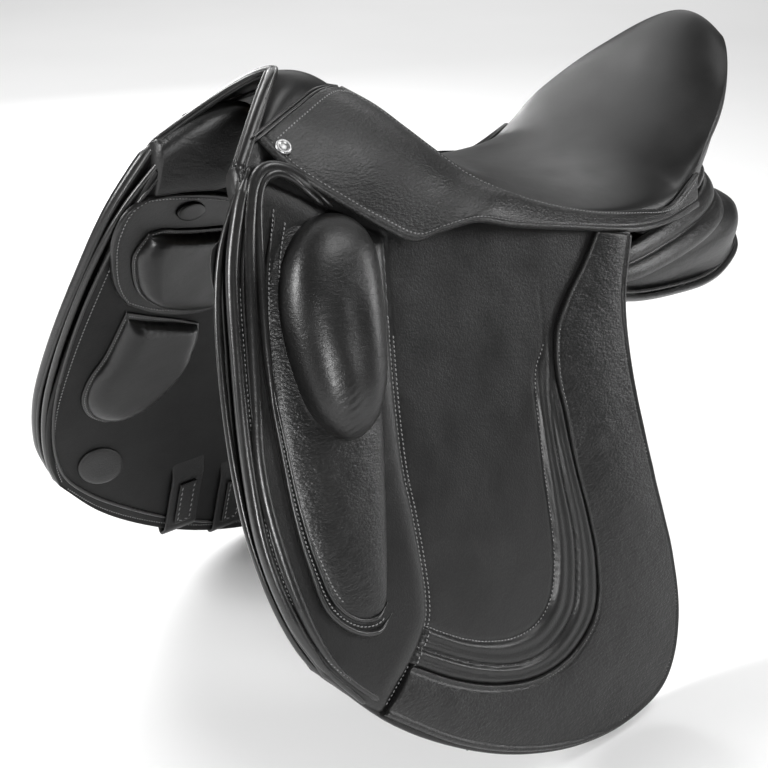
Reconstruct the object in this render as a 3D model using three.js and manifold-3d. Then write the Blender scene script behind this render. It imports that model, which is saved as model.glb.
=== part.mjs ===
// English dressage saddle with single flaps, built as an assembly of named sub-parts.
// Millimetres. +X points to the horse's head, +Y to the near (left) side, +Z up.
// The origin lies on the midline, in the channel between the panels, where the saddle rests
// over the horse's spine. Left pieces are shaped first and mirrored in the XZ plane.
import * as THREE from 'three';
import { mergeVertices } from 'three/addons/utils/BufferGeometryUtils.js';
import Module from 'manifold-3d';

// ---- driving dimensions ----
const leather = 3.5;             // thickness of flap and skirt leather
const coverLeather = 2.4;        // thinner leather over seat, pommel and cantle
const foldGap = 1;              // clearance between fixed and lifting leather at a fold
const layerGap = 0.9;            // clearance between stacked leathers
const sweatOuter = -12;          // sweat flap's outer face, measured in from the flap's outer face
const sweatInner = -15;          // sweat flap's horse-side face
const backingInner = -18.5;      // horse-side face of the leather plate under the upper pad
const seatRear = -294;           // rearmost point of the seat
const seatTip = 122;             // front tip of the seat leather's tongue
const pommelFront = 184;         // pommel's front edge on the midline
const pommelTop = 199;           // pommel's height on the midline
const treeWood = 8;              // thickness of the laminated tree
const barBlade = { rear: 78, front: 150, low: 92, high: 105, inner: 72.5, outer: 77.5 };
const barPlate = { inner: 58.5, outer: 61.5 };
const billetWidth = 34;

const wasm = await Module();
wasm.setup();

// ---- general shape helpers ----

// A smooth function through [position, value] pairs.
function profile(points) {
  const last = points.length - 1;
  const slope = (i) => {
    const before = points[Math.max(i - 1, 0)];
    const after = points[Math.min(i + 1, last)];
    return (after[1] - before[1]) / (after[0] - before[0]);
  };
  return (position) => {
    if (position <= points[0][0]) return points[0][1];
    if (position >= points[last][0]) return points[last][1];
    const i = points.findIndex((point) => point[0] > position) - 1;
    const step = points[i + 1][0] - points[i][0];
    const s = (position - points[i][0]) / step;
    const stay = 2 * s ** 3 - 3 * s ** 2 + 1;
    const leave = s ** 3 - 2 * s ** 2 + s;
    const arrive = s ** 3 - s ** 2;
    return stay * points[i][1] + (1 - stay) * points[i + 1][1]
      + step * (leave * slope(i) + arrive * slope(i + 1));
  };
}

// A box of nu x nv x nw cells whose points (0 to 1 each way) are moved by map(u, v, w).
function warpedBox(nu, nv, nw, map) {
  const geometry = new THREE.BoxGeometry(1, 1, 1, nu, nv, nw).translate(0.5, 0.5, 0.5);
  const position = geometry.attributes.position;
  for (let i = 0; i < position.count; i += 1) {
    position.setXYZ(i, ...map(position.getX(i), position.getY(i), position.getZ(i)));
  }
  geometry.computeVertexNormals();
  return geometry;
}

// A curve in space through the points, read from 0 to 1.
function route(points) {
  const curve = new THREE.CatmullRomCurve3(points.map((p) => new THREE.Vector3(...p)));
  return (t) => curve.getPointAt(t);
}

// A flat curve in the x-z plane of a flap, as a curve in space with y left at 0.
function outline(points) {
  return route(points.map(([x, z]) => [x, 0, z]));
}

// Coons patch between four edges: low and high run rear to front, rear and front run low to high.
function patch(low, high, rear, front) {
  const [lowRear, lowFront] = [low(0), low(1)];
  const [highRear, highFront] = [high(0), high(1)];
  return (u, v) => {
    const point = low(u).multiplyScalar(1 - v).addScaledVector(high(u), v);
    point.addScaledVector(rear(v), 1 - u).addScaledVector(front(v), u);
    point.addScaledVector(lowRear, -(1 - u) * (1 - v)).addScaledVector(lowFront, -u * (1 - v));
    point.addScaledVector(highRear, -(1 - u) * v).addScaledVector(highFront, -u * v);
    return point;
  };
}

// A patch between two edges only, joined by straight lines.
function ruled(low, high) {
  return (u, v) => low(u).lerp(high(u), v);
}

// Outward direction of a surface at (u, v); u runs forward and v runs up.
function outward(surface, u, v) {
  const step = 0.01;
  const [u0, u1] = [Math.max(u - step, 0), Math.min(u + step, 1)];
  const [v0, v1] = [Math.max(v - step, 0), Math.min(v + step, 1)];
  const along = surface(u1, v).sub(surface(u0, v));
  const up = surface(u, v1).sub(surface(u, v0));
  return up.cross(along).normalize();
}

// A closed sheet between two offsets from a surface; an offset is a number or a function of (u, v).
// place(u, v, offset) gives the point that far outside the surface.
function layer(nu, nv, low, high, place) {
  const read = (value, u, v) => (typeof value === 'function' ? value(u, v) : value);
  return warpedBox(nu, 1, nv, (u, w, v) => {
    const from = read(low, u, v);
    return place(u, v, from + (read(high, u, v) - from) * w).toArray();
  });
}

function sheet(surface, nu, nv, low, high) {
  return layer(nu, nv, low, high,
    (u, v, offset) => surface(u, v).addScaledVector(outward(surface, u, v), offset));
}

// A round tube along a curve, with flat ends.
function tube(points, radius, steps, sides = 8) {
  const section = new THREE.Shape();
  section.absarc(0, 0, radius, 0, Math.PI * 2);
  const extrudePath = new THREE.CatmullRomCurve3(points.map((p) => new THREE.Vector3(...p)));
  return new THREE.ExtrudeGeometry(section, { steps, extrudePath, curveSegments: sides / 2 });
}

// A soft bar along X: section(u) gives its centre, half width, half thickness and tilt down outward.
function softBar(nu, nv, nw, section) {
  return warpedBox(nu, nv, nw, (u, v, w) => {
    const { x, y, z, half, thick, tilt } = section(u);
    const [a, b] = [2 * v - 1, 2 * w - 1];
    const wide = a * Math.sqrt(1 - b * b / 2) * half;
    const deep = b * Math.sqrt(1 - a * a / 2) * thick;
    const angle = THREE.MathUtils.degToRad(tilt);
    return [x, y + wide * Math.cos(angle) + deep * Math.sin(angle),
      z - wide * Math.sin(angle) + deep * Math.cos(angle)];
  });
}

function mirrored(geometry) {
  const copy = geometry.clone().scale(1, -1, 1);
  if (copy.index) {
    const index = copy.index;
    for (let i = 0; i < index.count; i += 3) {
      const first = index.getX(i);
      index.setX(i, index.getX(i + 2));
      index.setX(i + 2, first);
    }
    return copy;
  }
  const position = copy.attributes.position;
  for (let i = 0; i < position.count; i += 3) {
    const first = new THREE.Vector3().fromBufferAttribute(position, i);
    const third = new THREE.Vector3().fromBufferAttribute(position, i + 2);
    position.setXYZ(i, third.x, third.y, third.z);
    position.setXYZ(i + 2, first.x, first.y, first.z);
  }
  copy.computeVertexNormals();
  return copy;
}

function toSolid(geometry) {
  const bare = geometry.clone();
  bare.deleteAttribute('normal');
  bare.deleteAttribute('uv');
  const merged = mergeVertices(bare, 1e-3);
  return new wasm.Manifold(new wasm.Mesh({
    numProp: 3,
    vertProperties: new Float32Array(merged.attributes.position.array),
    triVerts: new Uint32Array(merged.index.array),
  }));
}

function toGeometry(solid) {
  const mesh = solid.getMesh();
  const result = new THREE.BufferGeometry();
  result.setAttribute('position', new THREE.BufferAttribute(new Float32Array(mesh.vertProperties), 3));
  result.setIndex(new THREE.BufferAttribute(new Uint32Array(mesh.triVerts), 1));
  result.computeVertexNormals();
  return result;
}

function cut(geometry, tools) {
  let solid = toSolid(geometry);
  for (const tool of tools) solid = solid.subtract(toSolid(tool));
  return toGeometry(solid);
}

// A straight fold in leather, from rear to front: the plane that holds the fold and the leather's
// outward direction, its normal pointing to the fixed side.
function foldBetween(rear, front, outwards) {
  const along = new THREE.Vector3().subVectors(front, rear);
  const normal = along.cross(outwards).normalize();
  return { normal, offset: normal.dot(front) };
}

// The fixed part (side 1) or the moving part (side -1) of leather parted along a fold.
function partAt(geometry, fold, side) {
  const normal = fold.normal.clone().multiplyScalar(side).toArray();
  return toGeometry(toSolid(geometry).trimByPlane(normal, side * fold.offset + foldGap / 2));
}

function block(low, high) {
  const size = high.map((value, i) => value - low[i]);
  const centre = high.map((value, i) => (value + low[i]) / 2);
  return new THREE.BoxGeometry(...size).translate(...centre);
}

// ---- top line of the saddle ----

// Height on the midline, half width and edge height of the seat leather, along X.
const crest = profile([[-294, 177], [-284, 189], [-252, 169], [-216, 136], [-174, 104], [-130, 86],
  [-80, 80], [-30, 85], [20, 103], [60, 129], [100, 159], [140, 184], [168, 196], [186, 200]]);
const seatHalf = profile([[-294, 12], [-290, 34], [-280, 54], [-256, 75], [-226, 91], [-184, 105],
  [-147, 112], [-100, 114], [-50, 111], [0, 101], [30, 87], [60, 67], [90, 44], [110, 22], [122, 4]]);
const sideHalf = profile([[-294, 12], [-290, 34], [-280, 54], [-256, 75], [-226, 91], [-184, 105],
  [-147, 112], [-100, 114], [-50, 111], [0, 101], [50, 77], [100, 66], [150, 56], [186, 51], [250, 51]]);
const sideHeight = profile([[-294, 176], [-280, 170], [-256, 151], [-226, 128], [-192, 103], [-168, 82],
  [-147, 68], [-100, 65], [-50, 71], [0, 84], [50, 104], [100, 130], [150, 146], [186, 149], [250, 149]]);
const roundness = profile([[-294, 2], [-175, 2.4], [-60, 2.8], [40, 2.2], [110, 1.7], [186, 1.4]]);

function skin(x, y) {
  const soft = 8;
  const power = roundness(x);
  const rise = (value) => (value * value + soft * soft) ** (power / 2) - soft ** power;
  return crest(x) - (crest(x) - sideHeight(x)) * rise(y) / rise(sideHalf(x));
}

// A hyperbola that leaves 0 flat and ends with a steady slope.
function bend(y, flat, slope) {
  return Math.sqrt(flat * flat + slope * slope * y * y) - flat;
}

// Front edge of the pommel: cut back on the midline, forward and down at the sides.
function pommelEdge(y) {
  return [pommelFront + bend(y, 6, 1.45), y, pommelTop - bend(y, 18, 1.3)];
}

function seatCover() {
  return warpedBox(16, 10, 1, (u, v, w) => {
    const x = seatRear + (seatTip - seatRear) * u ** 1.25;
    const y = (2 * v - 1) * seatHalf(x);
    return [x, y, skin(x, y) - coverLeather * (1 - w)];
  });
}

// Depth of the tree's top under the leather: thick foam in the seat, little at pommel and cantle.
const treeDepth = profile([[-294, 14], [-242, 18], [-150, 25], [-50, 24], [0, 26], [90, 22], [150, 15], [186, 10]]);

function treeTop(x, y) {
  return skin(x, 0.85 * y) - treeDepth(x);
}

function seatFoam() {
  const overTree = 4.4;
  return warpedBox(14, 8, 1, (u, v, w) => {
    const x = -276 + 372 * u;
    const side = 2 * v - 1;
    const y = side * (seatHalf(x) - 8);
    const top = skin(x, y) - coverLeather - 1.7;
    const middle = treeTop(x, y) + overTree;
    const bottom = Math.min(middle + (top - 3 - middle) * side ** 4, top - 3);
    return [x, y, bottom + (top - bottom) * w];
  });
}

// ---- tree, head plate and webs ----

const treeHalf = profile([[-274, 16], [-268, 34], [-252, 55], [-216, 74], [-166, 87], [-100, 93],
  [-40, 89], [10, 77], [48, 62], [78, 57], [168, 57], [178, 52]]);

function treeFrame() {
  const railDepth = profile([[60, 0], [95, 22], [160, 24], [178, 6]]);
  const plate = warpedBox(18, 10, 1, (u, v, w) => {
    const x = -274 + 452 * u;
    const y = (2 * v - 1) * treeHalf(x);
    const rail = railDepth(x) * THREE.MathUtils.clamp((Math.abs(y) - 44) / 8, 0, 1);
    return [x, y, treeTop(x, y) - (1 - w) * (treeWood + rail)];
  });
  const side = [[-228, 0], [-212, 32], [-165, 50], [-100, 54], [-30, 50], [40, 43], [90, 43],
    [136, 38], [150, 20], [152, 0]];
  const points = [...side, ...side.slice(1, -1).reverse().map(([x, y]) => [x, -y])].reverse();
  const opening = new THREE.Shape(points.map((p) => new THREE.Vector2(...p)));
  const through = new THREE.ExtrudeGeometry(opening, { depth: 300, bevelEnabled: false });
  return cut(plate, [through]);
}

function headPlate() {
  return warpedBox(1, 10, 1, (u, v, w) => {
    const x = 158 + 16 * u;
    const y = (2 * v - 1) * 36;
    return [x, y, treeTop(x, y) - treeWood - 2 - 4 * (1 - w)];
  });
}

function seatWeb(y0) {
  return warpedBox(18, 2, 1, (u, v, w) => {
    const x = -250 + 418 * u;
    const y = y0 - 13 + 26 * v;
    return [x, y, treeTop(x, y) + 1.4 + 2.2 * w];
  });
}

// ---- pommel and cantle leather ----

// The seam behind the pommel cover, from the midline down to the skirt's front corner.
const coverSeam = route([[130, 0, 178], [146, 10, 182], [164, 18, 183], [196, 29, 176], [238, 43, 165]]);
const coverFront = route([0, 0.25, 0.5, 0.75, 1].map((s) => pommelEdge(43 * s)));

function pommelCover() {
  return warpedBox(4, 16, 1, (u, v, w) => {
    const s = 2 * v - 1;
    const rear = coverSeam(Math.abs(s));
    const front = coverFront(Math.abs(s));
    const point = rear.clone().lerp(front, u);
    const crown = 5 * Math.sin(Math.PI * u) * (1 - s * s);
    return [point.x, point.y * Math.sign(s), point.z + crown - coverLeather * (1 - w) - 0.6];
  });
}

function pommelWelt() {
  const points = [-47, -38, -28, -18, -8, 0, 8, 18, 28, 38, 47].map((y) => {
    const [x, , z] = pommelEdge(y);
    return [x + 5.4, y, z - 1];
  });
  return tube(points, 3.4, 24);
}

// Leather over the back of the cantle: it leans in under the rim of the seat.
function cantleCover() {
  const low = 74;
  const sweep = 0.94 * Math.PI;
  return warpedBox(1, 18, 2, (w, v, u) => {
    const angle = sweep * (v - 0.5);
    const inward = w * coverLeather;
    const reach = 119 * (0.7 + 0.3 * u) - inward;
    const x = -170 - reach * Math.cos(angle);
    const y = (103 * (0.93 + 0.07 * u) - inward) * Math.sin(angle);
    const rim = Math.max(skin(Math.min(x, -176), y) - 9.6, low + 5);
    return [x, y, low + (rim - low) * u];
  });
}

function rearRoll() {
  const half = [[-262, 0, 65], [-255, 35, 64], [-238, 62, 62], [-205, 84, 59], [-160, 99, 51],
    [-100, 108, 44]];
  const points = [...half.slice().reverse(), ...half.slice(1).map(([x, y, z]) => [x, -y, z])];
  return tube(points, 5.5, 26);
}

// ---- skirts ----

const skirtSeamX = [-172, -130, -90, -40, 0, 30, 55, 78, 98, 112];
const skirtSeam = route([...skirtSeamX.map((x) => [x, seatHalf(x) + 4.2, skin(x, seatHalf(x)) - 1.5]),
  [128, 3, 174]]);
const skirtLow = route([[-174, 114, 51], [-128, 126, 51], [-73, 134, 56], [4, 130, 72], [63, 123, 84],
  [98, 118, 93], [128, 113, 90], [149, 110, 87], [174, 101, 101], [200, 88, 120], [225, 68, 142],
  [237, 48, 162]]);
const skirtRear = (v) => skirtLow(0).lerp(skirtSeam(0), v);
const skirtFront = (v) => coverSeam(1 - v).add(new THREE.Vector3(-4.6, 1, 0));
const skirtFlat = patch(skirtLow, skirtSeam, skirtRear, skirtFront);

// The skirt bulges over the stirrup bar.
const skirtBulge = profile([[0, 0], [0.45, 1], [0.65, 7], [0.8, 10], [0.92, 6], [1, 2]]);
function skirtSurface(u, v) {
  const bulge = skirtBulge(u) * Math.sin(Math.PI * v);
  return skirtFlat(u, v).add(new THREE.Vector3(0, 0.7 * bulge, 0.7 * bulge));
}

// The skirt lifts on a straight fold from its front edge, below the nail, to its rear lower edge.
const skirtFold = foldBetween(new THREE.Vector3(-100, 130, 53), new THREE.Vector3(227, 66, 145),
  new THREE.Vector3(0.1, 0.46, 0.88));

function skirt(side) {
  return partAt(sheet(skirtSurface, 18, 4, -leather, 0), skirtFold, side);
}

// ---- flaps ----

// Outer face of the flap: distance from the midline, over x and z.
function flapY(x, z) {
  const down = -(z + 50) / 400;
  const fore = (x - 100) / 300;
  return 148.5 + 139 * down - 27 * down * down - 24 * fore + 14.5 * fore * fore + 46 * fore * down;
}

// The point at an offset along the normal of the flap's outer face.
function flapPoint(x, z, offset) {
  const reach = 0.5;
  const slopeX = (flapY(x + reach, z) - flapY(x - reach, z)) / (2 * reach);
  const slopeZ = (flapY(x, z + reach) - flapY(x, z - reach)) / (2 * reach);
  const normal = new THREE.Vector3(-slopeX, 1, -slopeZ).normalize();
  return new THREE.Vector3(x, flapY(x, z), z).addScaledVector(normal, offset);
}

// A closed sheet that follows the flap over a flat area given in x and z.
function flapSheet(flat, nu, nv, low, high) {
  return layer(nu, nv, low, high, (u, v, offset) => {
    const { x, z } = flat(u, v);
    return flapPoint(x, z, offset);
  });
}

const flapTop = outline([[-62, 54], [44, 81], [150, 108], [256, 134]]);
const flapRear = outline([[-48, -290], [-58, -250], [-57, -205], [-48, -140], [-40, -70], [-42, -10],
  [-62, 54]]);
const flapFront = outline([[296, -168], [313, -128], [321, -78], [316, -25], [301, 42], [284, 98],
  [256, 134]]);
const flapBottom = outline([[-48, -290], [-28, -312], [18, -322], [73, -316], [137, -294], [195, -262],
  [250, -220], [296, -168]]);
const flapArea = patch(flapBottom, flapTop, flapRear, flapFront);

const barNotch = block([66, 40, 91], [150, 130, 160]);

// The flap lifts on a straight fold from its front top corner to its rear edge.
const flapFold = foldBetween(new THREE.Vector3(-42, 150, -5), new THREE.Vector3(262, 57, 138),
  new THREE.Vector3(0.11, 0.93, 0.36));
const flapLeather = cut(flapSheet(flapArea, 9, 12, -leather, 0), [barNotch]);

function flap() {
  return partAt(flapLeather, flapFold, -1);
}

// The fixed part of the flap, with the top of the border sewn on.
function flapHead() {
  const joined = toSolid(flapLeather).add(toSolid(border(-leather / 2)));
  return partAt(toGeometry(joined), flapFold, 1);
}

// Where each billet passes through the sweat flap, and the height where it turns round its edge.
const slotFront = { x: 162, z: -188, edge: -272 };
const slotRear = { x: 105, z: -208, edge: -294 };

function sweatFlap() {
  const inset = (u, v) => flapArea(0.008 + 0.984 * u, 0.022 + 0.9 * v);
  const openings = [slotFront, slotRear].flatMap(({ x, z, edge }) => [
    block([x - 21, 60, z - 17], [x + 21, 260, z + 9]),
    block([x - 20, 60, edge - 40], [x + 20, 260, edge + 4]),
  ]);
  return partAt(cut(flapSheet(inset, 8, 11, sweatInner, sweatOuter), openings), flapFold, -1);
}

const borderInner = outline([[-26, 56], [4, 30], [30, 0], [37, -40], [34, -100], [28, -170], [36, -218],
  [66, -240], [104, -244], [150, -233], [192, -210], [236, -180]]);
const borderOuter = outline([[-59, 50], [-43, 8], [-39, -50], [-46, -130], [-56, -205], [-56, -250],
  [-44, -290], [-26, -309], [18, -319], [73, -313], [137, -291], [195, -259], [249, -217], [268, -198]]);

function border(low) {
  return flapSheet(ruled(borderOuter, borderInner), 24, 3, low, 2.6);
}

function flapBorder() {
  return partAt(border(layerGap), flapFold, -1);
}

function flapChannel() {
  const inner = outline([[42, -8], [55, -30], [62, -82], [68, -150], [80, -192], [98, -204], [126, -205],
    [165, -191], [203, -166]]);
  const outer = outline([[38, -16], [42, -50], [39, -100], [34, -168], [43, -212], [69, -233], [104, -237],
    [148, -226], [214, -186]]);
  return flapSheet(ruled(outer, inner), 20, 4, layerGap, (u, v) => 2 + 3 * Math.abs(Math.sin(2 * Math.PI * v)));
}

const baseLow = outline([[232, -140], [244, -150], [262, -147], [280, -132]]);
const baseHigh = outline([[184, 88], [210, 104], [238, 116]]);
const baseRear = outline([[232, -140], [212, -70], [196, -9], [184, 50], [184, 88]]);
const baseFront = outline([[280, -132], [288, -64], [281, 11], [264, 77], [238, 116]]);

function blockBase() {
  const area = patch(baseLow, baseHigh, baseRear, baseFront);
  const padded = (u, v) => 2 + 3 * Math.sqrt(Math.sin(Math.PI * u) * Math.sin(Math.PI * v));
  return flapSheet(area, 4, 8, layerGap, padded);
}

function thighBlock() {
  const centre = profile([[-26, 230], [0, 232], [55, 224], [90, 214], [110, 206]]);
  const half = profile([[-26, 10], [-14, 22], [0, 29], [55, 36], [90, 27], [110, 10]]);
  const area = (u, v) => {
    const z = -26 + 136 * v;
    return { x: centre(z) + (2 * u - 1) * half(z), z };
  };
  const height = (u, v) => {
    const across = Math.sqrt(Math.max(0, 1 - (2 * u - 1) ** 4));
    const along = Math.min(1, Math.sqrt(v * 6)) * Math.min(1, Math.sqrt((1 - v) * 3));
    return 8 + (34 - 8 * v) * across * along;
  };
  return flapSheet(area, 6, 9, 6, height);
}

function edgeRoll() {
  const path = [[255, 122], [273, 88], [287, 40], [300, -14], [309, -62], [307, -104], [296, -142],
    [279, -176], [266, -190]];
  return tube(path.map(([x, z]) => flapPoint(x, z, 4.4).toArray()), 3, 18, 6);
}

// ---- pads and straps on the horse side of the sweat flap ----

// Leather plate under the upper pad.
function padBacking() {
  const low = outline([[158, -15], [190, -14], [211, -9], [238, 2], [264, 18]]);
  const high = outline([[165, 90], [201, 103], [224, 109], [244, 113], [266, 115]]);
  const rear = outline([[158, -15], [165, 90]]);
  const front = outline([[264, 18], [279, 38], [288, 62], [291, 86], [284, 107], [266, 115]]);
  return flapSheet(patch(low, high, rear, front), 6, 6, backingInner, sweatInner - layerGap);
}

// A pad that swells towards the horse from the leather behind it.
function cushion(area, from, swell) {
  const depth = (u, v) => from - 3 - swell * Math.sqrt(Math.sin(Math.PI * u) * Math.sin(Math.PI * v));
  return flapSheet(area, 6, 6, depth, from);
}

function upperPad() {
  const low = outline([[160, -12], [186, -10], [208, -4], [230, 6], [246, 17]]);
  const high = outline([[166, 66], [202, 73], [228, 79], [246, 84], [260, 84]]);
  const rear = outline([[160, -12], [166, 66]]);
  const front = outline([[246, 17], [259, 31], [268, 52], [270, 68], [260, 84]]);
  return cushion(patch(low, high, rear, front), backingInner - layerGap, 12);
}

function lowerPad() {
  const low = outline([[188, -58], [205, -91], [220, -104], [240, -108], [263, -104]]);
  const high = outline([[183, -27], [210, -14], [238, -2], [262, 9]]);
  const rear = outline([[188, -58], [181, -42], [183, -27]]);
  const front = outline([[263, -104], [281, -90], [290, -70], [286, -49], [275, -30], [262, 9]]);
  return cushion(patch(low, high, rear, front), sweatInner - layerGap, 11);
}

// A round piece on the flap, its axis along the flap's normal.
function roundOnFlap(x, z, radius, low, high) {
  const centre = flapPoint(x, z, (low + high) / 2);
  const normal = flapPoint(x, z, 1).sub(flapPoint(x, z, 0));
  const disc = new THREE.CylinderGeometry(radius, radius, high - low, 24);
  disc.applyQuaternion(new THREE.Quaternion().setFromUnitVectors(new THREE.Vector3(0, 1, 0), normal));
  return disc.translate(centre.x, centre.y, centre.z);
}

// Side view of a billet as [depth from the flap's face, height]: down inside the flap, out through
// the slot, down the horse side, round the sweat flap's lower edge and back up between the flaps.
function billet({ x, z, edge }) {
  const half = 1.4;
  const path = [[-9.4, z + 60], [-9.4, z + 24], [-9.4, z + 16], [-13.5, z], [-17.6, z - 16],
    [-17.6, z - 24], [-17.6, edge + 16], [-17.6, edge + 6], [-12, edge - 1], [-6.4, edge + 6],
    [-6.4, edge + 16], [-6.4, z + 44]];
  const curve = new THREE.CatmullRomCurve3(path.map(([d, h]) => new THREE.Vector3(d, h, 0)),
    false, 'centripetal');
  const steps = 26;
  return warpedBox(2, 1, steps, (a, b, c) => {
    const point = curve.getPointAt(1 - c);
    const along = curve.getTangentAt(1 - c);
    const side = (2 * b - 1) * half;
    const depth = point.x - along.y * side;
    const height = point.y + along.x * side;
    return flapPoint(x + (a - 0.5) * billetWidth, height, depth).toArray();
  });
}

function billetTab({ x, z, edge }) {
  return warpedBox(2, 1, 3, (a, b, c) => {
    const height = edge + 12 + (z - 24 - edge - 12) * c;
    return flapPoint(x - 9 + 18 * a, height, -22.4 + 2.2 * b).toArray();
  });
}

// ---- panels ----

function panel() {
  const station = profile([[0, -300], [0.1, -270], [0.55, 70], [0.75, 176], [0.8, 190], [0.9, 214],
    [1, 243]]);
  const y = profile([[-300, 46], [-262, 60], [-200, 66], [-100, 72], [0, 68], [100, 54], [150, 37],
    [176, 34], [190, 31], [214, 35], [246, 45]]);
  const z = profile([[-300, 8], [-262, 2], [-200, 0], [-100, 9], [0, 25], [100, 60], [150, 94],
    [176, 114], [190, 142], [214, 143], [246, 141]]);
  const half = profile([[-300, 16], [-290, 24], [-262, 32], [-200, 39], [-100, 44], [0, 42], [100, 34],
    [150, 30], [176, 28], [190, 33], [214, 30], [236, 20], [246, 12]]);
  const thick = profile([[-300, 14], [-290, 22], [-262, 32], [-200, 36], [-100, 28], [0, 20], [100, 15],
    [150, 11], [176, 8], [190, 7], [214, 7], [246, 5]]);
  const tilt = profile([[-300, 14], [-200, 22], [-100, 26], [0, 32], [100, 46], [150, 58], [176, 64],
    [214, 70], [246, 70]]);
  return softBar(20, 4, 3, (u) => {
    const x = station(u);
    return { x, y: y(x), z: z(x), half: half(x), thick: thick(x), tilt: tilt(x) };
  });
}

function rearGusset() {
  const low = route([[-278, 6, 41], [-271, 40, 41], [-246, 74, 40], [-205, 97, 38], [-150, 113, 33],
    [-90, 121, 26]]);
  const high = route([[-272, 6, 55], [-265, 39, 55], [-241, 71, 53], [-202, 93, 50], [-150, 109, 45],
    [-90, 118, 38]]);
  return sheet(ruled(low, high), 12, 1, -2.5, 0);
}

function panelPiping() {
  return tube([[-60, 127, 0], [-97, 122, -10], [-150, 114, -20], [-207, 105, -27], [-250, 93, -27],
    [-284, 80, -18], [-302, 62, -10]], 3, 14, 6);
}

// ---- metal: stirrup bars, catches and nail heads ----

function stirrupBar() {
  const { rear, front, low, high, inner, outer } = barBlade;
  const shape = new THREE.Shape();
  shape.moveTo(rear - 6, barPlate.inner);
  shape.lineTo(front + 6, barPlate.inner);
  shape.lineTo(front + 6, outer - 3);
  shape.lineTo(front + 3, outer);
  shape.lineTo(rear + 10, outer);
  shape.lineTo(rear + 10, inner);
  shape.lineTo(front + 1, inner);
  shape.lineTo(front + 1, barPlate.outer);
  shape.lineTo(rear - 6, barPlate.outer);
  shape.closePath();
  const bar = new THREE.ExtrudeGeometry(shape, { depth: high - low, bevelEnabled: false });
  return bar.translate(0, 0, low);
}

// The catch turns up about a cross pin; its round front end keeps clear of the blade.
function barCatch() {
  const { rear, low, high, inner, outer } = barBlade;
  const half = (high - low) / 2 - 1;
  const shape = new THREE.Shape();
  shape.moveTo(-10, -half);
  shape.lineTo(0, -half);
  shape.absarc(0, 0, half, -Math.PI / 2, Math.PI / 2);
  shape.lineTo(-7, half);
  shape.lineTo(-10, half + 2);
  shape.closePath();
  const lever = new THREE.ExtrudeGeometry(shape,
    { depth: outer - inner - 1, bevelEnabled: false, curveSegments: 10 });
  lever.rotateX(Math.PI / 2);
  return lever.translate(rear + 3.5, outer - 0.5, (low + high) / 2);
}

function nailHead() {
  const profilePoints = [[0, 0], [5.8, 0], [5.8, 0.8], [4.4, 2], [2.2, 2.2], [0, 1.6]];
  const head = new THREE.LatheGeometry(profilePoints.map((p) => new THREE.Vector2(...p)), 20);
  const [u, v] = [0.967, 0.08];
  const normal = outward(skirtSurface, u, v);
  head.applyQuaternion(new THREE.Quaternion().setFromUnitVectors(new THREE.Vector3(0, 1, 0), normal));
  const seat = skirtSurface(u, v).addScaledVector(normal, layerGap);
  return head.translate(seat.x, seat.y, seat.z);
}

// ---- materials and assembly ----

const finishes = {
  smooth_leather: { color: 0x232324, roughness: 0.38, metalness: 0 },
  grain_leather: { color: 0x29292a, roughness: 0.5, metalness: 0 },
  panel_leather: { color: 0x252526, roughness: 0.45, metalness: 0 },
  strap_leather: { color: 0x1f1f20, roughness: 0.55, metalness: 0 },
  edge_leather: { color: 0x2e2e2f, roughness: 0.35, metalness: 0 },
  foam: { color: 0x6a6660, roughness: 0.95, metalness: 0 },
  webbing: { color: 0x8a8170, roughness: 0.9, metalness: 0 },
  tree_wood: { color: 0x9a7650, roughness: 0.6, metalness: 0 },
  steel: { color: 0xb9babc, roughness: 0.3, metalness: 1 },
};

const saddle = new THREE.Group();

function add(name, geometry, finish) {
  const mesh = new THREE.Mesh(geometry, new THREE.MeshStandardMaterial(finishes[finish]));
  mesh.name = name;
  saddle.add(mesh);
}

function addPair(name, geometry, finish) {
  add(`${name}_left`, geometry, finish);
  add(`${name}_right`, mirrored(geometry), finish);
}

add('tree_frame', treeFrame(), 'tree_wood');
add('head_plate', headPlate(), 'steel');
add('seat_web_left', seatWeb(22), 'webbing');
add('seat_web_right', seatWeb(-22), 'webbing');
add('seat_foam', seatFoam(), 'foam');
add('seat_cover', seatCover(), 'smooth_leather');
add('pommel_cover', pommelCover(), 'smooth_leather');
add('pommel_welt', pommelWelt(), 'edge_leather');
add('cantle_cover', cantleCover(), 'smooth_leather');
add('rear_roll', rearRoll(), 'edge_leather');

addPair('panel', panel(), 'panel_leather');
addPair('rear_gusset', rearGusset(), 'grain_leather');
addPair('panel_piping', panelPiping(), 'edge_leather');
addPair('skirt_top', skirt(1), 'grain_leather');
addPair('skirt', skirt(-1), 'grain_leather');
addPair('nail_head', nailHead(), 'steel');
addPair('stirrup_bar', stirrupBar(), 'steel');
addPair('bar_catch', barCatch(), 'steel');

addPair('flap_head', flapHead(), 'smooth_leather');
addPair('flap', flap(), 'smooth_leather');
addPair('flap_border', flapBorder(), 'grain_leather');
addPair('flap_channel', flapChannel(), 'smooth_leather');
addPair('block_base', blockBase(), 'smooth_leather');
addPair('thigh_block', thighBlock(), 'smooth_leather');
addPair('edge_roll', edgeRoll(), 'edge_leather');
addPair('sweat_flap', sweatFlap(), 'smooth_leather');
addPair('pad_backing', padBacking(), 'smooth_leather');
addPair('upper_pad', upperPad(), 'panel_leather');
addPair('pad_disc', roundOnFlap(221, 95.5, 13.5, backingInner - 3, backingInner - layerGap), 'smooth_leather');
addPair('lower_pad', lowerPad(), 'panel_leather');
addPair('pad_button', roundOnFlap(259, -155, 23, sweatInner - 3, sweatInner - layerGap), 'smooth_leather');
addPair('billet_front', billet(slotFront), 'strap_leather');
addPair('billet_rear', billet(slotRear), 'strap_leather');
addPair('billet_tab_front', billetTab(slotFront), 'strap_leather');
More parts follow.
